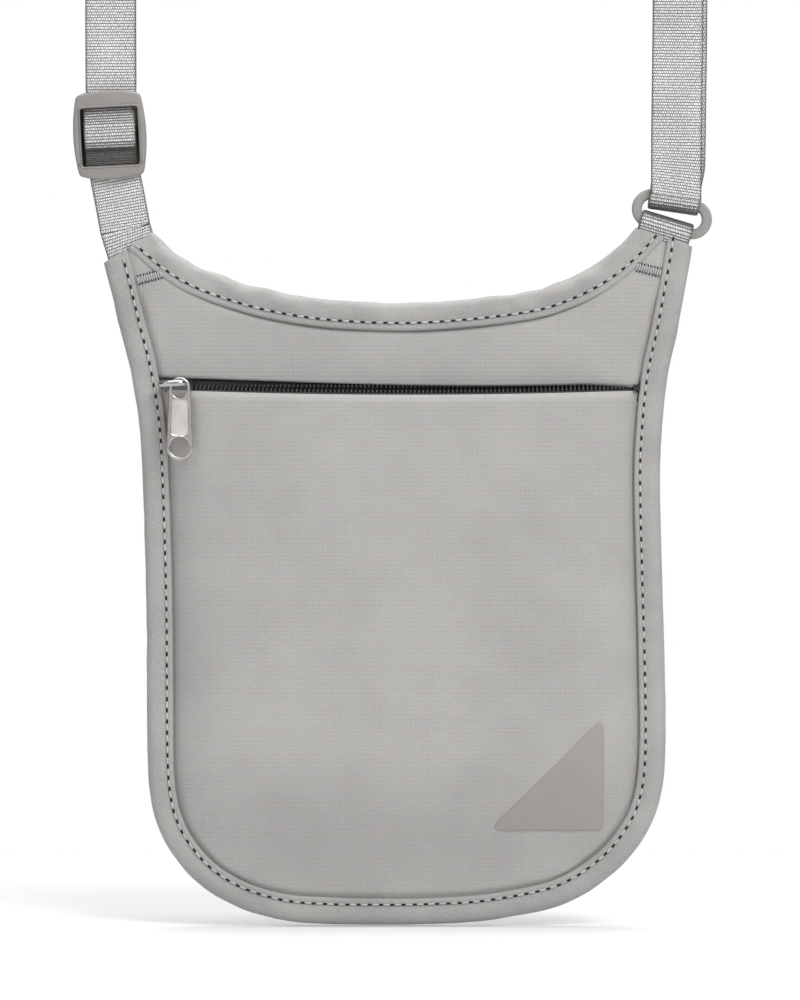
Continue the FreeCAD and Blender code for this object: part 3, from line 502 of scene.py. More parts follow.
def bulge(x, z):
    """How far the stuffed pocket stands in front of its sewn edge."""
    left, right = FOLD(z)
    middle, half = (left + right) / 2, (right - left) / 2
    lift = smooth((z - BAND - 1.0) / 40.0)
    share = min(abs(x - middle) / max(half, 1.0), 1.0)
    return BULGE * lift * (1 - share**8)


def pocket_y(x, z):
    """The pocket's face, with the shallow swells that soft cloth has over what it holds."""
    full = bulge(x, z)
    swell = 0.45 * wobble(x, z, 38.0, 3.0) + 0.16 * wobble(x, z * 1.6, 13.0, 7.0)
    return PANEL_Y - full + swell * min(full / 3.0, 1.0) + crease(x, z)


def lip_z(x):
    """The lip's height: it sags a little between the zip's ends."""
    return 152.7 - 1.4 * (1 - ((x - 2.0) / 68.0) ** 2)


def mouth_top(x):
    """The upper panel's lower edge: the open mouth narrows towards the zip's far end."""
    return lip_z(x) + 3.7 - 1.4 * smooth((x + 60.0) / 110.0) - 1.3 * smooth((x - 50.0) / 18.0)


def upper_y(x, z):
    """The upper panel's face, which hangs almost flat."""
    return PANEL_Y + 0.25 * wobble(x, z, 22.0, 11.0) - 0.3 + crease(x, z) * 1.2


def panel(name, foot, top, face, material, columns=110, rows=90, power=1.6, depth=SHELL_DEPTH, sides=TUCK):
    """A panel between the pouch's sides, from one height or line to another."""
    points, shares = [], np.sin(np.linspace(-math.pi / 2, math.pi / 2, columns + 1))
    shares = 0.6 * shares + 0.4 * np.linspace(-1, 1, columns + 1)
    for row in range(rows + 1):
        for share in shares:
            z_top = 150.0
            for _ in range(6):
                left, right = sides(z_top)
                z_top = top((left + right) / 2 + share * (right - left) / 2)
            left, right = sides(150.0)
            z_foot = foot((left + right) / 2 + share * (right - left) / 2) if callable(foot) else foot
            z = z_foot + (z_top - z_foot) * (row / rows) ** power
            left, right = sides(z)
            x = (left + right) / 2 + share * (right - left) / 2
            points.append((x, face(x, z), z))
    wide = columns + 1
    faces = [
        (r * wide + c, r * wide + c + 1, (r + 1) * wide + c + 1, (r + 1) * wide + c)
        for r in range(rows)
        for c in range(columns)
    ]
    return thicken(flip_forward(mesh_piece(name, points, faces, material)), depth)


def flip_forward(piece):
    """Turns a flat sheet's faces to the pouch's front."""
    lean = sum(p.normal.y * p.area for p in piece.data.polygons)
    if lean > 0:
        piece.data.flip_normals()
    return piece


def neck_z(x):
    """The height at which the panels end under the neckline's band."""
    return np.interp(x, NECK_TUCK[:, 0], NECK_TUCK[:, 1])


def band(name, line, across, width, material, seed, ruffle):
    """A tape folded over an edge: both legs, the roll at the edge and the dips where it's sewn.

    ruffle is the depth of the puckers across it, which grow towards the horns.
    """
    profile = [
        (width - 0.1, 1.1), (width + 0.05, 1.55), (width - 0.2, 1.95), (width - 0.9, 2.12),
        (width - 1.9, 1.9), (width - 2.9, 2.16), (width - 4.4, 2.32), (2.0, 2.28), (1.0, 1.95),
        (0.35, 1.3), (0.02, 0.5),
    ]
    loop = [(d, -y) for d, y in profile] + [(d, y) for d, y in reversed(profile)]
    rings = []
    for n, (spot, side) in enumerate(zip(line, across)):
        run = n * LINE_STEP
        pinch = 0.5 + 0.5 * math.cos(2 * math.pi * run / STITCH_PITCH)
        sway = 0.35 * wobble(run, 0.0, 24.0, seed)
        gather = ruffle * (0.35 + 0.65 * smooth((abs(spot[0]) - 15.0) / 30.0))
        ring = []
        for d, y in loop:
            dip = 0.22 * pinch * math.exp(-(((d - STITCH_INSET) / 0.9) ** 2))
            puff = (0.24 + gather) * wobble(run, d * 1.2, 6.0, seed + 5.0) * smooth(d / 2.0)
            puff *= 1.0 - 0.93 * smooth((d - 3.6) / 2.0)
            depth = math.copysign(max(abs(y) - dip + puff * (abs(y) > 1.2), 0.2), y)
            shift = d + sway * smooth(d / width) * 0.8
            shift += 0.7 * gather * wobble(run, 0.0, 7.0, seed + 9.0) * (1.0 - smooth(d / 4.0))
            ring.append((spot[0] + side[0] * shift, depth, spot[1] + side[1] * shift))
        rings.append(ring)
    return horn_cut(loft(name, rings, material))


pieces = {}
pieces["front_panel"] = panel("pocket_front", 3.6, lip_z, pocket_y, SHELL, depth=0.55)
pieces["front_lining"] = panel(
    "pocket_front_lining",
    3.8,
    lambda x: lip_z(x) - 0.4,
    lambda x, z: pocket_y(x, z) + 0.75,
    LINING,
    columns=60,
    rows=60,
    depth=LINING_DEPTH,
)
pieces["upper_panel"] = panel("upper_front", mouth_top, neck_z, upper_y, SHELL, rows=36, power=1.0)
pieces["back_panel"] = panel(
    "back", 3.6, neck_z, lambda x, z: 0.95 + 0.25 * wobble(x, z, 30.0, 21.0), SHELL
)
pieces["back_lining"] = panel(
    "back_inner", 3.8, lambda x: 168.0, lambda x, z: 0.5, LINING, columns=40, rows=40, depth=LINING_DEPTH
)
pieces["card_slip"] = panel(
    "card_slots",
    78.0,
    lambda x: 147.0,
    lambda x, z: pocket_y(x, z) + 1.6,
    LINING,
    columns=40,
    rows=24,
    power=1.0,
    depth=0.25,
    sides=lambda z: (-53.5, 53.5),
)
pieces["neckline_binding"] = band("neckline_band", NECK, NECK_IN, NECK_BAND, BINDING, 31.0, 1.25)
pieces["side_binding"] = band("side_band", EDGE, EDGE_IN, BAND, BINDING, 47.0, 0.2)
for key in ("upper_panel", "back_panel"):
    horn_cut(pieces[key])


# ---- rows of stitches, teeth and tacks -----------------------------------------------------------


def row_tree():
    """Sets one shape along a line, a pitch apart and turned with it."""
    tree = bpy.data.node_groups.new("Row of one shape", "GeometryNodeTree")
    for name, kind in (
        ("Geometry", "NodeSocketGeometry"),
        ("Pitch", "NodeSocketFloat"),
        ("Shape", "NodeSocketObject"),
        ("Finish", "NodeSocketMaterial"),
    ):
        tree.interface.new_socket(name, in_out="INPUT", socket_type=kind)
    tree.interface.new_socket("Geometry", in_out="OUTPUT", socket_type="NodeSocketGeometry")
    given = add_node(tree, "NodeGroupInput").outputs
    line = add_node(tree, "GeometryNodeMeshToCurve", {"Mesh": given["Geometry"]})
    marks = add_node(
        tree,
        "GeometryNodeResampleCurve",
        {"Curve": line.outputs["Curve"], "Length": given["Pitch"]},
        mode="LENGTH",
    )
    shape = add_node(tree, "GeometryNodeObjectInfo", {"Object": given["Shape"]})
    run = add_node(tree, "GeometryNodeInputTangent")
    turn = add_node(tree, "FunctionNodeAlignRotationToVector", {"Vector": run.outputs["Tangent"]}, axis="X")
    row = add_node(
        tree,
        "GeometryNodeInstanceOnPoints",
        {
            "Points": marks.outputs["Curve"],
            "Instance": shape.outputs["Geometry"],
            "Rotation": turn.outputs["Rotation"],
        },
    )
    real = add_node(tree, "GeometryNodeRealizeInstances", {"Geometry": row.outputs["Instances"]})
    dressed = add_node(
        tree, "GeometryNodeSetMaterial", {"Geometry": real.outputs["Geometry"], "Material": given["Finish"]}
    )
    add_node(tree, "NodeGroupOutput", {"Geometry": dressed.outputs["Geometry"]})
    return tree


ROW = row_tree()


def bead(name, length, width, height, around=8, steps=6, arch=0.0, shift=0.0):
    """A small rounded shape along x, to be repeated; arch lifts its middle, shift moves it along."""
    rings = []
    for n in range(steps + 1):
        t = -1 + 2 * n / steps
        fat = math.sqrt(max(1 - abs(t) ** 3, 0.02))
        lift = -arch * (1 - t * t)
        rings.append(
            [
                (
                    t * length / 2 + shift,
                    lift + fat * height / 2 * math.sin(2 * math.pi * k / around),
                    fat * width / 2 * math.cos(2 * math.pi * k / around),
                )
                for k in range(around)
            ]
        )
    piece = loft(name, rings, THREAD)
    piece.data.transform(Matrix.Translation((0, 0, -FOOT_Z)))
    return piece


def row(name, line, shape, pitch, material):
    """The shape repeated along a line of points in drawing millimetres, as one plain mesh."""
    mesh = bpy.data.meshes.new(name)
    mesh.from_pydata([tuple(p) for p in place(line)], [(n, n + 1) for n in range(len(line) - 1)], [])
    piece = bpy.data.objects.new(name, mesh)
    bpy.context.collection.objects.link(piece)
    mesh.materials.append(material)
    modifier = piece.modifiers.new("row", "NODES")
    modifier.node_group = ROW
    values = {"Pitch": pitch * MM, "Shape": shape, "Finish": material}
    for socket in ROW.interface.items_tree:
        if socket.in_out == "INPUT" and socket.name in values:
            modifier[socket.identifier] = values[socket.name]
    piece = plain_mesh(piece)
    piece.data.shade_smooth()
    return piece


def seam(line, across, inset, y, trim):
    """A sewing line set in from an edge, on the front or back, trimmed at the horns."""
    spots = line + across * inset
    return [(x, y, z) for x, z in spots[trim[0] : len(spots) - trim[1]]]


stitch = bead("stitch", 2.1, 0.58, 0.46, arch=0.1)
# The needle holes are near-black beads: painted shade between the stitches.
hole = bead("needle_hole", 1.5, 0.64, 0.32, shift=STITCH_PITCH / 2)
STITCH_Y = -2.08
side_seam = [seam(EDGE, EDGE_IN, STITCH_INSET, y, (10, 9)) for y in (STITCH_Y, -STITCH_Y)]
neck_seam = [seam(NECK, NECK_IN, STITCH_INSET, y, (9, 9)) for y in (STITCH_Y, -STITCH_Y)]
for label, lines in (("side", side_seam), ("neck", neck_seam)):
    for face, line in zip(("front", "back"), lines):
        pieces[f"{label}_{face}_thread"] = row(f"{label}_{face}_thread", line, stitch, STITCH_PITCH, THREAD)
        pieces[f"{label}_{face}_holes"] = row(f"{label}_{face}_holes", line, hole, STITCH_PITCH, HOLE_SHADE)


def tack(name, x, z, tilt, length=6.6, height=2.3):
    """A bar tack: close zigzag loops across its length, with a needle hole at each turn."""
    lean = math.radians(tilt)
    along = Vector((math.cos(lean), 0, math.sin(lean)))
    up = Vector((-math.sin(lean), 0, math.cos(lean)))
    middle = Vector((x, -1.95, z))
    loops = [middle + along * t for t in np.linspace(-length / 2, length / 2, 30)]
    threads = row(name + "_loops", loops, tack_loop, 0.62, THREAD)
    for side, label in ((-1, "low"), (1, "high")):
        edge = [spot + up * side * height / 2 for spot in loops]
        pieces[f"{name}_{label}_holes"] = row(f"{name}_{label}_holes", edge, tack_hole, 0.9, HOLE_SHADE)
    pieces[name] = threads


tack_loop = bead("tack_loop", 0.5, 2.2, 0.6)
tack_hole = bead("tack_hole", 0.5, 0.55, 0.3)
tack("left_tack", -71.9, 185.0, 15.0)
tack("right_tack", 70.6, 187.1, -14.0)


# ---- zip -----------------------------------------------------------------------------------------


ZIP_FROM, ZIP_TO = -59.5, 68.0
TOOTH_PITCH = 1.2


def strip(name, x_from, x_to, low, high, face, material, columns=80):
    """An upright strip whose edges and face follow functions of x."""
    points = []
    for x in np.linspace(x_from, x_to, columns + 1):
        points += [(x, face(x), low(x)), (x, face(x), high(x))]
    faces = [(2 * n, 2 * n + 2, 2 * n + 3, 2 * n + 1) for n in range(columns)]
    return thicken(flip_forward(mesh_piece(name, points, faces, material)), TAPE_DEPTH)


def zip_front(x):
    """Where the lower tape stands behind the lip."""
    return pocket_y(x, 150.8) + 1.3


pieces["zip_tape_upper"] = strip(
    "upper_tape", ZIP_FROM, ZIP_TO, lambda x: 149.5, lambda x: 158.5, lambda x: -0.7, TAPE
)
pieces["zip_tape_lower"] = strip(
    "lower_tape", ZIP_FROM, ZIP_TO, lambda x: lip_z(x) - 6.5, lambda x: lip_z(x) + 0.45, zip_front, TAPE
)
coil_tooth = bead("coil_tooth", 0.75, 1.9, 1.0)
teeth_run = np.linspace(ZIP_FROM + 1, ZIP_TO - 0.5, 120)
upper_teeth = [(x, -1.15, 153.6) for x in teeth_run]
lower_teeth = [(x, zip_front(x) + 0.5, lip_z(x) + 0.5) for x in teeth_run]
pieces["zip_coil_upper"] = row("upper_teeth", upper_teeth, coil_tooth, TOOTH_PITCH, COIL)
pieces["zip_coil_lower"] = row("lower_teeth", lower_teeth, coil_tooth, TOOTH_PITCH, COIL)


# ---- plates cut from outlines --------------------------------------------------------------------


def rounded(corners, radius, steps=7):
    """A closed outline with its corners rounded."""
    pts = [np.array(c, dtype=float) for c in corners]
    line = []
    for n, corner in enumerate(pts):
        back, on = pts[n - 1] - corner, pts[(n + 1) % len(pts)] - corner
        back_unit, on_unit = back / np.linalg.norm(back), on / np.linalg.norm(on)
        half = math.acos(np.clip(np.dot(back_unit, on_unit), -1, 1)) / 2
        cut = min(radius / math.tan(half), 0.45 * np.linalg.norm(back), 0.45 * np.linalg.norm(on))
        first, last = corner + back_unit * cut, corner + on_unit * cut
        for t in np.linspace(0, 1, steps):
            line.append((1 - t) ** 2 * first + 2 * t * (1 - t) * corner + t**2 * last)
    return line


def oval(x, z, wide, high, steps=40, power=2.0):
    """A closed oval; a power over 2 squares it off."""
    line = []
    for n in range(steps):
        angle = 2 * math.pi * n / steps
        across, up = (math.copysign(abs(v) ** (2 / power), v) for v in (math.cos(angle), math.sin(angle)))
        line.append((x + wide * across, z + high * up))
    return line


def cut_plate(name, outlines, y_front, depth, edge, material):
    """A plate with the outlines' holes and rounded edges, its face towards the front."""
    curve = bpy.data.curves.new(name, "CURVE")
    curve.dimensions = "2D"
    curve.fill_mode = "BOTH"
    curve.extrude = (depth / 2 - edge) * MM
    curve.bevel_depth = edge * MM
    curve.bevel_resolution = 3
    curve.offset = -edge * MM
    for outline in outlines:
        spline = curve.splines.new("POLY")
        spline.points.add(len(outline) - 1)
        for point, (x, z) in zip(spline.points, outline):
            point.co = (x * MM, z * MM, 0.0, 1.0)
        spline.use_cyclic_u = True
    piece = bpy.data.objects.new(name, curve)
    bpy.context.collection.objects.link(piece)
    piece = plain_mesh(piece)
    turn = Matrix.Rotation(math.pi / 2, 4, "X")
    move = Matrix.Translation((0.0, (y_front + depth / 2) * MM, FOOT_Z))
    piece.data.transform(move @ turn)
    work = bmesh.new()
    work.from_mesh(piece.data)
    bmesh.ops.remove_doubles(work, verts=work.verts, dist=1e-6)
    bmesh.ops.recalc_face_normals(work, faces=work.faces)
    work.to_mesh(piece.data)
    work.free()
    piece.data.materials.clear()
    piece.data.materials.append(material)
    return piece


def tube(name, path, radius, material, around=14, flat=1.0, ends=True):
    """A bar along a path of points, rounded at its ends."""
    step = 0.35
    line = curve_through(path, step)
    rings = []
    count = len(line)
    for n, spot in enumerate(line):
        along = Vector(line[min(n + 1, count - 1)] - line[max(n - 1, 0)]).normalized()
        side = along.cross(Vector((0, 0, 1)))
        side = side.normalized() if side.length > 1e-3 else Vector((1, 0, 0))
        up = side.cross(along).normalized()
        from_end = min(n, count - 1 - n) * step
        taper = math.sqrt(1 - (1 - min(from_end / radius, 1.0)) ** 2 * 0.94) if ends else 1.0
        rings.append(
            [
                Vector(spot)
                + side * math.cos(2 * math.pi * k / around) * radius * taper * flat
                + up * math.sin(2 * math.pi * k / around) * radius * taper
                for k in range(around)
            ]
        )
    return loft(name, rings, material)


def joined(name, parts):
    """Several meshes as one piece; each keeps its own finish."""
    work = bmesh.new()
    materials = []
    for part in parts:
        slots = []
        for material in part.data.materials:
            if material not in materials:
                materials.append(material)
            slots.append(materials.index(material))
        first = len(work.faces)
        work.from_mesh(part.data)
        work.faces.ensure_lookup_table()
        for face in work.faces[first:]:
            face.material_index = slots[face.material_index] if slots else 0
    mesh = bpy.data.meshes.new(name)
    work.to_mesh(mesh)
    work.free()
    for material in materials:
        mesh.materials.append(material)
    for part in parts:
        bpy.data.objects.remove(part)
    piece = bpy.data.objects.new(name, mesh)
    bpy.context.collection.objects.link(piece)
    return piece


# ---- slider and pull -----------------------------------------------------------------------------


PULL_X, PULL_TOP, PULL_FOOT = -63.0, 156.3, 132.7
PULL_HEAD, PULL_HEEL = 3.05, 3.8


def pull_outline(inset):
    """The tab's outline: a round head that widens to a rounder foot."""
    head, heel = PULL_HEAD - inset, PULL_HEEL - inset
    top, foot = PULL_TOP - inset - head, PULL_FOOT + inset + heel
    upper = [(math.cos(a) * head, top + math.sin(a) * head) for a in np.linspace(0, math.pi, 18)]
    lower = [(math.cos(a) * heel, foot + math.sin(a) * heel) for a in np.linspace(math.pi, 2 * math.pi, 22)]
    return [(PULL_X + x, z) for x, z in upper + lower]


eye = oval(PULL_X, 153.0, 2.05, 2.6, power=2.3)
finger = oval(PULL_X, 136.45, 2.87, 2.87)
dish = rounded([(-65.5, 139.8), (-60.5, 139.8), (-60.85, 149.6), (-65.15, 149.6)], 1.5)
pull_plate = cut_plate("pull_plate", [pull_outline(0.15), eye, finger], -8.72, 1.0, 0.2, NICKEL)
pull_rim = cut_plate("pull_rim", [pull_outline(0.0), eye, finger, dish], -8.95, 1.28, 0.32, NICKEL_RIM)
pieces["zip_pull"] = joined("pull_tab", [pull_plate, pull_rim])
pieces["zip_pull"].data.shade_smooth()

shield = rounded(
    [(-66.0, 147.4), (-61.6, 146.8), (-60.4, 148.6), (-60.4, 150.6), (-61.8, 151.6), (-66.0, 151.6)], 0.8
)
slider_back = cut_plate("slider_back", [shield], -0.1, 0.5, 0.12, CHROME)
slider_face = cut_plate("slider_face", [shield], -1.1, 0.55, 0.14, CHROME)
bridge = tube(
    "bridge",
    [
        (-65.6, -0.9, 151.0), (-66.9, -2.0, 153.2), (-68.1, -5.0, 154.0), (-68.4, -7.2, 154.3),
        (-67.5, -8.7, 154.4), (-65.3, -9.35, 154.5), (-63.0, -9.4, 154.6), (-61.9, -8.6, 154.6),
        (-61.75, -7.2, 154.3),
    ],
    1.0,
    CHROME,
)
pieces["zip_slider"] = joined("slider", [slider_back, slider_face, bridge])
pieces["zip_slider"].data.shade_smooth()


# ---- patch ---------------------------------------------------------------------------------------


PATCH_RIGHT, PATCH_FOOT, PATCH_SIDE = 57.5, 27.3, 32.4


def make_patch():
    """A thin coated triangle bonded on, which follows the pocket's face."""
    right, foot, side = PATCH_RIGHT, PATCH_FOOT, PATCH_SIDE
    outline = rounded([(right, foot), (right, foot + side), (right - side, foot)], 1.6, 9)
    plate = cut_plate("patch", [outline], -0.4, 0.4, 0.1, PATCH)
    work = bmesh.new()
    work.from_mesh(plate.data)
    for cut in np.arange(-1.0, 1.01, 0.1):
        for normal, spot in (
            ((1, 0, 0), (right - side / 2 + cut * side / 2, 0, foot)),
            ((0, 0, 1), (right, 0, foot + side / 2 + cut * side / 2)),
        ):
            bmesh.ops.bisect_plane(
                work,
                geom=work.verts[:] + work.edges[:] + work.faces[:],
                plane_co=Vector(place(spot)),
                plane_no=normal,
            )
    for vert in work.verts:
        x, z = vert.co.x / MM, (vert.co.z - FOOT_Z) / MM
        vert.co.y += pocket_y(x, z) * MM
    bmesh.ops.triangulate(work, faces=work.faces)
    work.to_mesh(plate.data)
    work.free()
    return plate


pieces["corner_patch"] = make_patch()


# ---- strap ---------------------------------------------------------------------------------------


def route_line():
    """Points of the smooth line that the route's points steer."""
    curve = bpy.data.curves.new("strap route", "CURVE")
    curve.dimensions = "3D"
    curve.resolution_u = 24
    spline = curve.splines.new("NURBS")
    spline.points.add(len(STRAP_ROUTE) - 1)
    for point, (x, z) in zip(spline.points, STRAP_ROUTE):
        point.co = (x * MM, 0.0, FOOT_Z + z * MM, 1.0)
    spline.order_u = 3
    spline.use_endpoint_u = True
    holder = bpy.data.objects.new("strap route", curve)
    bpy.context.collection.objects.link(holder)
    mesh = plain_mesh(holder)
    line = np.array([v.co for v in mesh.data.vertices])
    bpy.data.objects.remove(mesh)
    line[:, 2] -= FOOT_Z
    return spaced(line / MM, RIB_PITCH / 2)


ROUTE = route_line()


def strap_sections(layer):
    """Centre, width direction and facing of the strap at each point of its line."""
    count = len(ROUTE)
    sections = []
    for n, point in enumerate(ROUTE):
        along = Vector(ROUTE[min(n + 3, count - 1)] - ROUTE[max(n - 3, 0)]).normalized()
        spot = Vector(point)
        turn = smooth((spot.z - TWIST_FROM) / (TWIST_TO - TWIST_FROM)) * math.pi / 2
        if along.z < 0 or (spot.x > 0 and spot.z > 400):
            turn = math.pi - turn
        across = Vector((math.cos(turn), -math.sin(turn), 0))
        across = (across - along * across.dot(along)).normalized()
        face = along.cross(across).normalized()
        centre = spot + face * layer * LAYER_PITCH
        if layer and spot.x > 0:
            centre.x += 1.2 * smooth((spot.z - 209.0) / 9.0) * smooth((380.0 - spot.z) / 60.0)
        if spot.x > 0 and spot.z < SETTLE_FROM:
            settle = smooth((SETTLE_FROM - spot.z) / (SETTLE_FROM - SETTLE_TO))
            lean = STRAP_LEAN * settle
            across = Vector((-math.cos(lean), 0, math.sin(lean)))
            target = RING_AT[1] + (WRAP if layer else -WRAP)
            centre = Vector((centre.x, layer * LAYER_PITCH * (1 - settle) + target * settle, spot.z))
            face = Vector((0, 1, 0))
        sections.append((centre, across, face))
    return sections


def ribbon(name, sections, material, half=STRAP_WIDTH / 2, skin=STRAP_SKIN, lay=None):
    """Webbing through the sections: ribs across it, and a rounded selvedge at each edge.

    lay is the direction that its flat face has; without it each section's own facing counts.
    """
    spread = np.array([-1.0, -0.97, -0.9, -0.6, -0.2, 0.2, 0.6, 0.9, 0.97, 1.0])
    rings, uv = [], []
    run, last = 0.0, sections[0][0]
    for n, (centre, across, face) in enumerate(sections):
        run += (centre - last).length
        last = centre
        rib = RIB_HEIGHT * math.cos(2 * math.pi * run / RIB_PITCH)
        ring = []
        for side, shares in ((-1, spread), (1, spread[::-1])):
            for share in shares:
                rim = 0.25 if abs(share) == 1 else (0.8 if abs(share) > 0.95 else 1.0)
                lift = (skin / 2 + rib) * rim
                ring.append(centre + across * half * share + face * side * lift)
                uv.append(((share + 1) * half, run))
        rings.append(ring)
    piece = loft(name, rings, material, uv)
    # The "bend" attribute, how far each point turns from the flat face, is what cloth's turn paints shade by.
    flat = [lay or face for _, _, face in sections for _ in range(2 * len(spread))]
    bend = np.array([1.0 - abs(vert.normal.dot(axis)) for vert, axis in zip(piece.data.vertices, flat)])
    bend = bend.reshape(len(sections), -1)
    bend[0], bend[-1] = bend[1], bend[-2]
    piece.data.attributes.new("bend", "FLOAT", "POINT").data.foreach_set("value", bend.ravel())
    return piece


front = strap_sections(0)
back = strap_sections(1)
split = next(n for n, s in enumerate(back) if s[0].z > RETURN_SPLIT)
front_end = next(n for n in range(len(front) // 2, len(front)) if front[n][0].z < STRAP_END)


def horn_tail():
    """The strap's lower end, from its first point down into the left horn."""
    centre, across, face = front[0]
    steps = []
    for t in np.linspace(1.0, 0.0, 22)[:-1]:
        spot = Vector((-78.9 + 3.6 * t, 0.0, 199.0 - 12.0 * t))
        lean = math.radians(-16.0 - 14.0 * t)
        steps.append((spot, Vector((math.cos(lean), 0, -math.sin(lean))), face))
    return steps


front_run = horn_tail() + front[:front_end]
back_run = back[split:front_end][::-1]
strap_front = ribbon("strap_front_layer", front_run, WEBBING)
strap_return = ribbon("strap_back_layer", back_run, WEBBING)
low_left = [s for s in back[: split + 1] if s[0].z > RETURN_FOOT]
strap_left = ribbon("strap_back_left", low_left, WEBBING)


def turned_webbing(name, path, matrix, material=WEBBING, half=STRAP_WIDTH / 2, skin=STRAP_SKIN):
    """Webbing that bends in y and z, its width along the frame's x."""
    line = spaced(np.array(path, dtype=float), RIB_PITCH / 4)
    turn = matrix.to_3x3()
    across = (turn @ Vector((-1, 0, 0))).normalized()
    sections = []
    count = len(line)
    for n, (y, z) in enumerate(line):
        step = line[min(n + 1, count - 1)] - line[max(n - 1, 0)]
        along = (turn @ Vector((0, step[0], step[1]))).normalized()
        face = along.cross(across).normalized()
        sections.append((matrix @ Vector((0, y, z)), across, face))
    return ribbon(name, sections, material, half, skin, (turn @ Vector((0, 1, 0))).normalized())


def arc(y, z, radius, start, stop, steps=18):
    """Points round a bend, from one angle in degrees to another."""
    return [
        (y + radius * math.cos(math.radians(a)), z + radius * math.sin(math.radians(a)))
        for a in np.linspace(start, stop, steps)
    ]


turn_matrix = Matrix.Translation((78.0, RING_AT[1], 207.15)) @ Matrix.Rotation(STRAP_LEAN, 4, "Y")
ring_turn = turned_webbing(
    "strap_ring_turn", [(-WRAP, 0.6)] + arc(0, -0.2, WRAP, 180, 360) + [(WRAP, 0.6)], turn_matrix
)
loop_matrix = Matrix.Translation((75.33, RING_AT[1], 198.6)) @ Matrix.Rotation(LOOP_LEAN, 4, "Y")
anchor_loop = turned_webbing(
    "anchor_loop",
    [(-0.3, -11.0), (-0.35, -6.0), (-1.9, -2.6)]
    + arc(0, 0.6, 2.75, 200, -20)
    + [(1.9, -2.6), (0.35, -6.0), (0.3, -11.0)],
    loop_matrix,
    half=7.6,
)


# ---- ring and adjuster ---------------------------------------------------------------------------


def stadium(long, high, steps=24):
    """A closed outline with straight long sides and half-round ends, from its half sizes."""
    run = long - high
    end = [(high * math.cos(a), high * math.sin(a)) for a in np.linspace(-math.pi / 2, math.pi / 2, steps)]
    return [(run + x, z) for x, z in end] + [(-run - x, -z) for x, z in end]


ring_rims = [stadium(*RING_HALF), stadium(*(half - RING_BAR for half in RING_HALF))]
ring = cut_plate("ring", ring_rims, -RING_DEPTH / 2, RING_DEPTH, 0.75, RING_COAT)
ring.data.transform(Matrix.Translation((0, 0, -FOOT_Z)))
tilted = Matrix.Translation(Vector(place(RING_AT))) @ Matrix.Rotation(RING_TILT, 4, "Y")
ring.data.transform(tilted)


def barrel(wide, high, crown, belly, radius, steps=9):
    """The adjuster's outline: four bowed sides and rounded corners."""
    w, h = wide - belly, high - crown
    sides = []
    for (x0, z0), (x1, z1), (bx, bz) in (
        ((-w, h), (w, h), (0, crown)),
        ((w, h), (w, -h), (belly, 0)),
        ((w, -h), (-w, -h), (0, -crown)),
        ((-w, -h), (-w, h), (-belly, 0)),
    ):
        for t in np.linspace(0.0, 1.0, steps + 1)[:-1]:
            bow = 4 * t * (1 - t)
            sides.append((x0 + (x1 - x0) * t + bx * bow, z0 + (z1 - z0) * t + bz * bow))
    return soften(sides, radius)


def soften(outline, radius):
    """Rounds an outline's corners by averaging it along its length."""
    step = 0.35
    line = spaced(np.array(outline + [outline[0]]), step)[:-1]
    reach = max(1, round(radius / step))
    kernel = np.hanning(2 * reach + 3)[1:-1]
    kernel /= kernel.sum()
    wrapped = np.vstack([line[-reach:], line, line[:reach]])
    return list(np.column_stack([np.convolve(wrapped[:, k], kernel, "valid") for k in range(2)]))


def make_adjuster():
    """The cast frame: its face, a thin raised lip round the window, and the bar that crosses it."""
    outer = barrel(10.45, 12.75, 1.2, 1.3, 1.9)
    # The window sits a little low in the frame.
    window, lip, throat = (
        [(x, z - 0.55) for x, z in barrel(*sizes)]
        for sizes in ((8.25, 8.42, 0.05, 0.05, 1.1), (8.85, 9.0, 0.1, 0.1, 1.3), (6.6, 7.6, 0.05, 0.05, 1.1))
    )
    face = cut_plate("adjuster_face", [outer, window], -3.2, 2.6, 0.8, COATED)
    rim = cut_plate("adjuster_lip", [lip, window], -3.4, 1.2, 0.3, COATED)
    bar_outline = rounded([(-9.0, -1.6), (9.0, -1.6), (9.0, 1.6), (-9.0, 1.6)], 0.4)
    bar = cut_plate("adjuster_bar", [bar_outline], 2.1, 2.0, 0.5, COATED)
    cheeks = []
    for side in (-1, 1):
        corners = [(side * x, z) for x, z in ((8.3, -3.0), (9.9, -3.0), (9.9, 3.0), (8.3, 3.0))]
        cheeks.append(cut_plate(f"adjuster_cheek_{side}", [rounded(corners, 0.5)], -2.4, 6.4, 0.4, COATED))
    # The frame's back plate, in the painted-shade copy of the coat.
    back = cut_plate("adjuster_back", [barrel(9.6, 10.6, 0.8, 0.8, 1.6), throat], 0.75, 0.5, 0.1, SHADED_COAT)
    whole = joined("adjuster_frame", [face, rim, bar, back, *cheeks])
    whole.data.transform(Matrix.Translation((0, 0, -FOOT_Z)))
    spot = Matrix.Translation(Vector(place(ADJUSTER_AT)))
    whole.data.transform(spot @ Matrix.Rotation(ADJUSTER_TILT, 4, "Y"))
    whole.data.shade_smooth()
    return whole


adjuster = make_adjuster()
adjuster_matrix = Matrix.Translation(ADJUSTER_AT) @ Matrix.Rotation(ADJUSTER_TILT, 4, "Y")
over_bar = turned_webbing(
    "strap_over_bar",
    [
        (0.2, 9.8), (-0.2, 8.4), (-1.4, 5.6), (-2.5, 2.6),
        (-2.8, 0.2), (-2.6, -1.8), (-1.8, -3.4), (-0.7, -4.0),
    ],
    adjuster_matrix,
    half=7.35,
    skin=0.8,
)
bar_wrap = turned_webbing(
    "bar_wrap",
    [(1.35, 12.4), (1.3, 4.0), (1.3, -1.0)]
    + arc(3.1, -1.0, 1.8, 180, 360)
    + [(4.9, 4.0), (2.4, 11.0), (2.1, 12.2)],
    adjuster_matrix,
    half=7.3,
    skin=0.9,
)
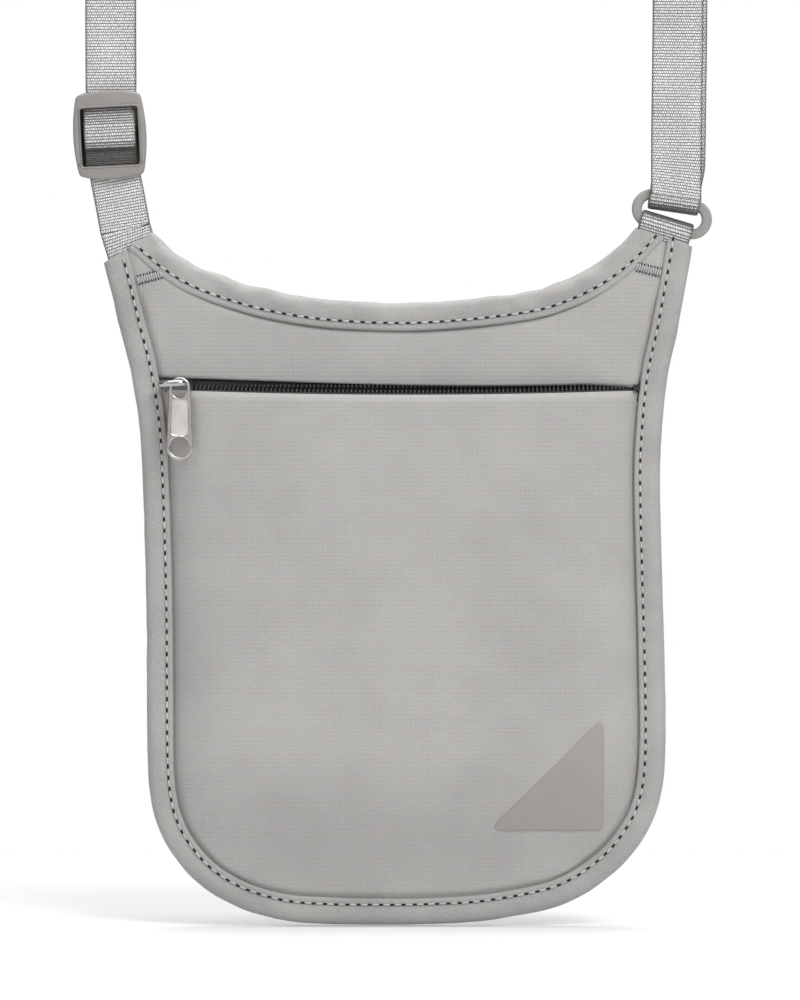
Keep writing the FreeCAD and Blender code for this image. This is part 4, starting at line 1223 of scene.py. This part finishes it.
# The webbing in the frame's throat, in the painted-shade copy of the webbing.
throat_web = turned_webbing(
    "strap_in_frame",
    [(-0.6, -1.5), (-0.75, -4.0), (-0.8, -7.0), (-0.75, -10.5)],
    adjuster_matrix,
    SHADED_WEBBING,
    half=7.3,
    skin=0.25,
)


# ---- what each piece stands for ------------------------------------------------------------------


ON_POUCH = {
    "front_panel": ("front_panel",),
    "front_lining": ("front_lining",),
    "upper_panel": ("upper_panel",),
    "back_panel": ("back_panel",),
    "back_lining": ("back_lining",),
    "card_slip": ("card_slip",),
    "neckline_binding": ("neckline_binding",),
    "side_binding": ("side_binding",),
    "zip_tape_upper": ("zip_tape_upper",),
    "zip_tape_lower": ("zip_tape_lower",),
    "zip_coil_upper": ("zip_coil_upper",),
    "zip_coil_lower": ("zip_coil_lower",),
    "corner_patch": ("corner_patch",),
    "left_tack": ("bar_tacks",),
}
CLOSES = ("front_panel", "front_lining", "card_slip", "zip_tape_lower", "zip_coil_lower", "corner_patch")

for key, piece in pieces.items():
    body = key if key in ("zip_pull", "zip_slider") else "pouch"
    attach(piece, body)
    for node in ON_POUCH.get(key, (key,) if body == key else ()):
        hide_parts(node)
    if key in CLOSES:
        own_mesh(piece)

for piece, body, slot_name, *nodes in (
    (strap_front, None, "webbing", "strap_front", "strap_tail"),
    (strap_return, "strap", "webbing", "strap_return"),
    (strap_left, "strap", "webbing", "strap_return_left"),
    (ring_turn, "strap", "webbing", "ring_turn"),
    (anchor_loop, None, "webbing", "anchor_loop", "anchor_tail"),
    (ring, "ring", "cast_fitting", "ring"),
    (throat_web, "adjuster", "webbing"),
    (adjuster, "adjuster", "cast_fitting", "adjuster_frame"),
    (over_bar, "adjuster", "webbing", "strap_over_bar"),
    (bar_wrap, "adjuster", "webbing", "bar_wrap"),
):
    if body:
        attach(piece, body)
    if nodes:
        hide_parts(*nodes)

# Both webbings are sewn into a horn, and their drawn lines bend where they leave it; here their placing is
# baked into their meshes.
for piece, start, end in (
    (strap_front, (-77.5, 0, 202.0), (-77.5, 0, 193.5)),
    (anchor_loop, (76.0, 0, 199.0), (74.2, 0, 193.6)),
):
    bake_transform(piece)

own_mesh(strap_left)


for spare in (stitch, hole, tack_loop, tack_hole, coil_tooth):
    bpy.data.objects.remove(spare)

# The crimped stops show as they are in the part, in the coil's black.
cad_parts["zip_stops"].data.materials.clear()
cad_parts["zip_stops"].data.materials.append(COIL)


# ---- floor, light and camera, in metres ----------------------------------------------------------


FLOOR_SIZE = 2.4
FLOOR_Y = -0.87
FLOOR_GAP = 0.0003
PAPER = 0.74
LAMP_SIZE = 0.9
# What the lamps aim at: the middle of the pouch, above its foot.
AIM_RISE = 0.12
# Each lamp's place, its height above the foot, and its power in watts.
LAMPS = (
    ("key", (0.7, -1.2, 1.25), 21.5),
    ("fill", (-1.1, -1.3, 0.9), 3.2),
    ("top_light", (0.0, 0.08, 1.3), 17.0),
)
CAMERA_X, CAMERA_BACK, CAMERA_RISE = -0.0004, 1.6, 0.1214
VIEW_HEIGHT = 0.2857

bpy.ops.mesh.primitive_plane_add(size=FLOOR_SIZE, location=(0, FLOOR_Y, FOOT_Z - FLOOR_GAP))
floor = bpy.context.object
floor.name = "floor"
paper, _, paper_shader = start_material("White paper sweep", 0.9)
paper_shader.inputs["Base Color"].default_value = (PAPER, PAPER, PAPER, 1)
floor.data.materials.append(paper)

world = bpy.data.worlds.new("studio")
bpy.context.scene.world = world
world.use_nodes = True
sky = world.node_tree
sky.nodes.clear()
direction = add_node(sky, "ShaderNodeTexCoord")
split_axes = add_node(sky, "ShaderNodeSeparateXYZ", {"Vector": direction.outputs["Generated"]})
depth_axis = add_node(sky, "ShaderNodeMath", {0: split_axes.outputs["Y"]}, operation="ABSOLUTE")
level = add_node(
    sky,
    "ShaderNodeMath",
    {0: split_axes.outputs["Z"], 1: 0.2, 2: depth_axis.outputs["Value"]},
    operation="MULTIPLY_ADD",
)
glow = add_node(sky, "ShaderNodeMapRange", {"Value": level.outputs["Value"], "To Min": 0.06, "To Max": 0.62})
path_kind = add_node(sky, "ShaderNodeLightPath")
strength = add_node(
    sky,
    "ShaderNodeMix",
    {"Factor": path_kind.outputs["Is Camera Ray"], "A": glow.outputs["Result"], "B": 1.0},
)
backdrop = add_node(
    sky, "ShaderNodeBackground", {"Color": (1, 1, 1, 1), "Strength": strength.outputs["Result"]}
)
add_node(sky, "ShaderNodeOutputWorld", {"Surface": backdrop.outputs["Background"]})


def soft_box(name, spot, power):
    """A square lamp that faces the pouch's middle."""
    lamp = bpy.data.lights.new(name, "AREA")
    lamp.shape = "SQUARE"
    lamp.size = LAMP_SIZE
    lamp.energy = power
    holder = bpy.data.objects.new(name, lamp)
    bpy.context.collection.objects.link(holder)
    holder.location = spot
    aim = Vector((0.0, 0.0, FOOT_Z + AIM_RISE)) - Vector(spot)
    holder.rotation_euler = aim.to_track_quat("-Z", "Y").to_euler()


for name, (x, y, rise), power in LAMPS:
    soft_box(name, (x, y, FOOT_Z + rise), power)

camera = bpy.data.cameras.new("camera")
camera_holder = bpy.data.objects.new("camera", camera)
bpy.context.collection.objects.link(camera_holder)
camera.lens = camera.sensor_width * CAMERA_BACK / VIEW_HEIGHT
camera_holder.location = (CAMERA_X, -CAMERA_BACK, FOOT_Z + CAMERA_RISE)
camera_holder.rotation_euler = (math.pi / 2, 0, 0)
bpy.context.scene.camera = camera_holder
bpy.context.scene.view_settings.view_transform = "Standard"
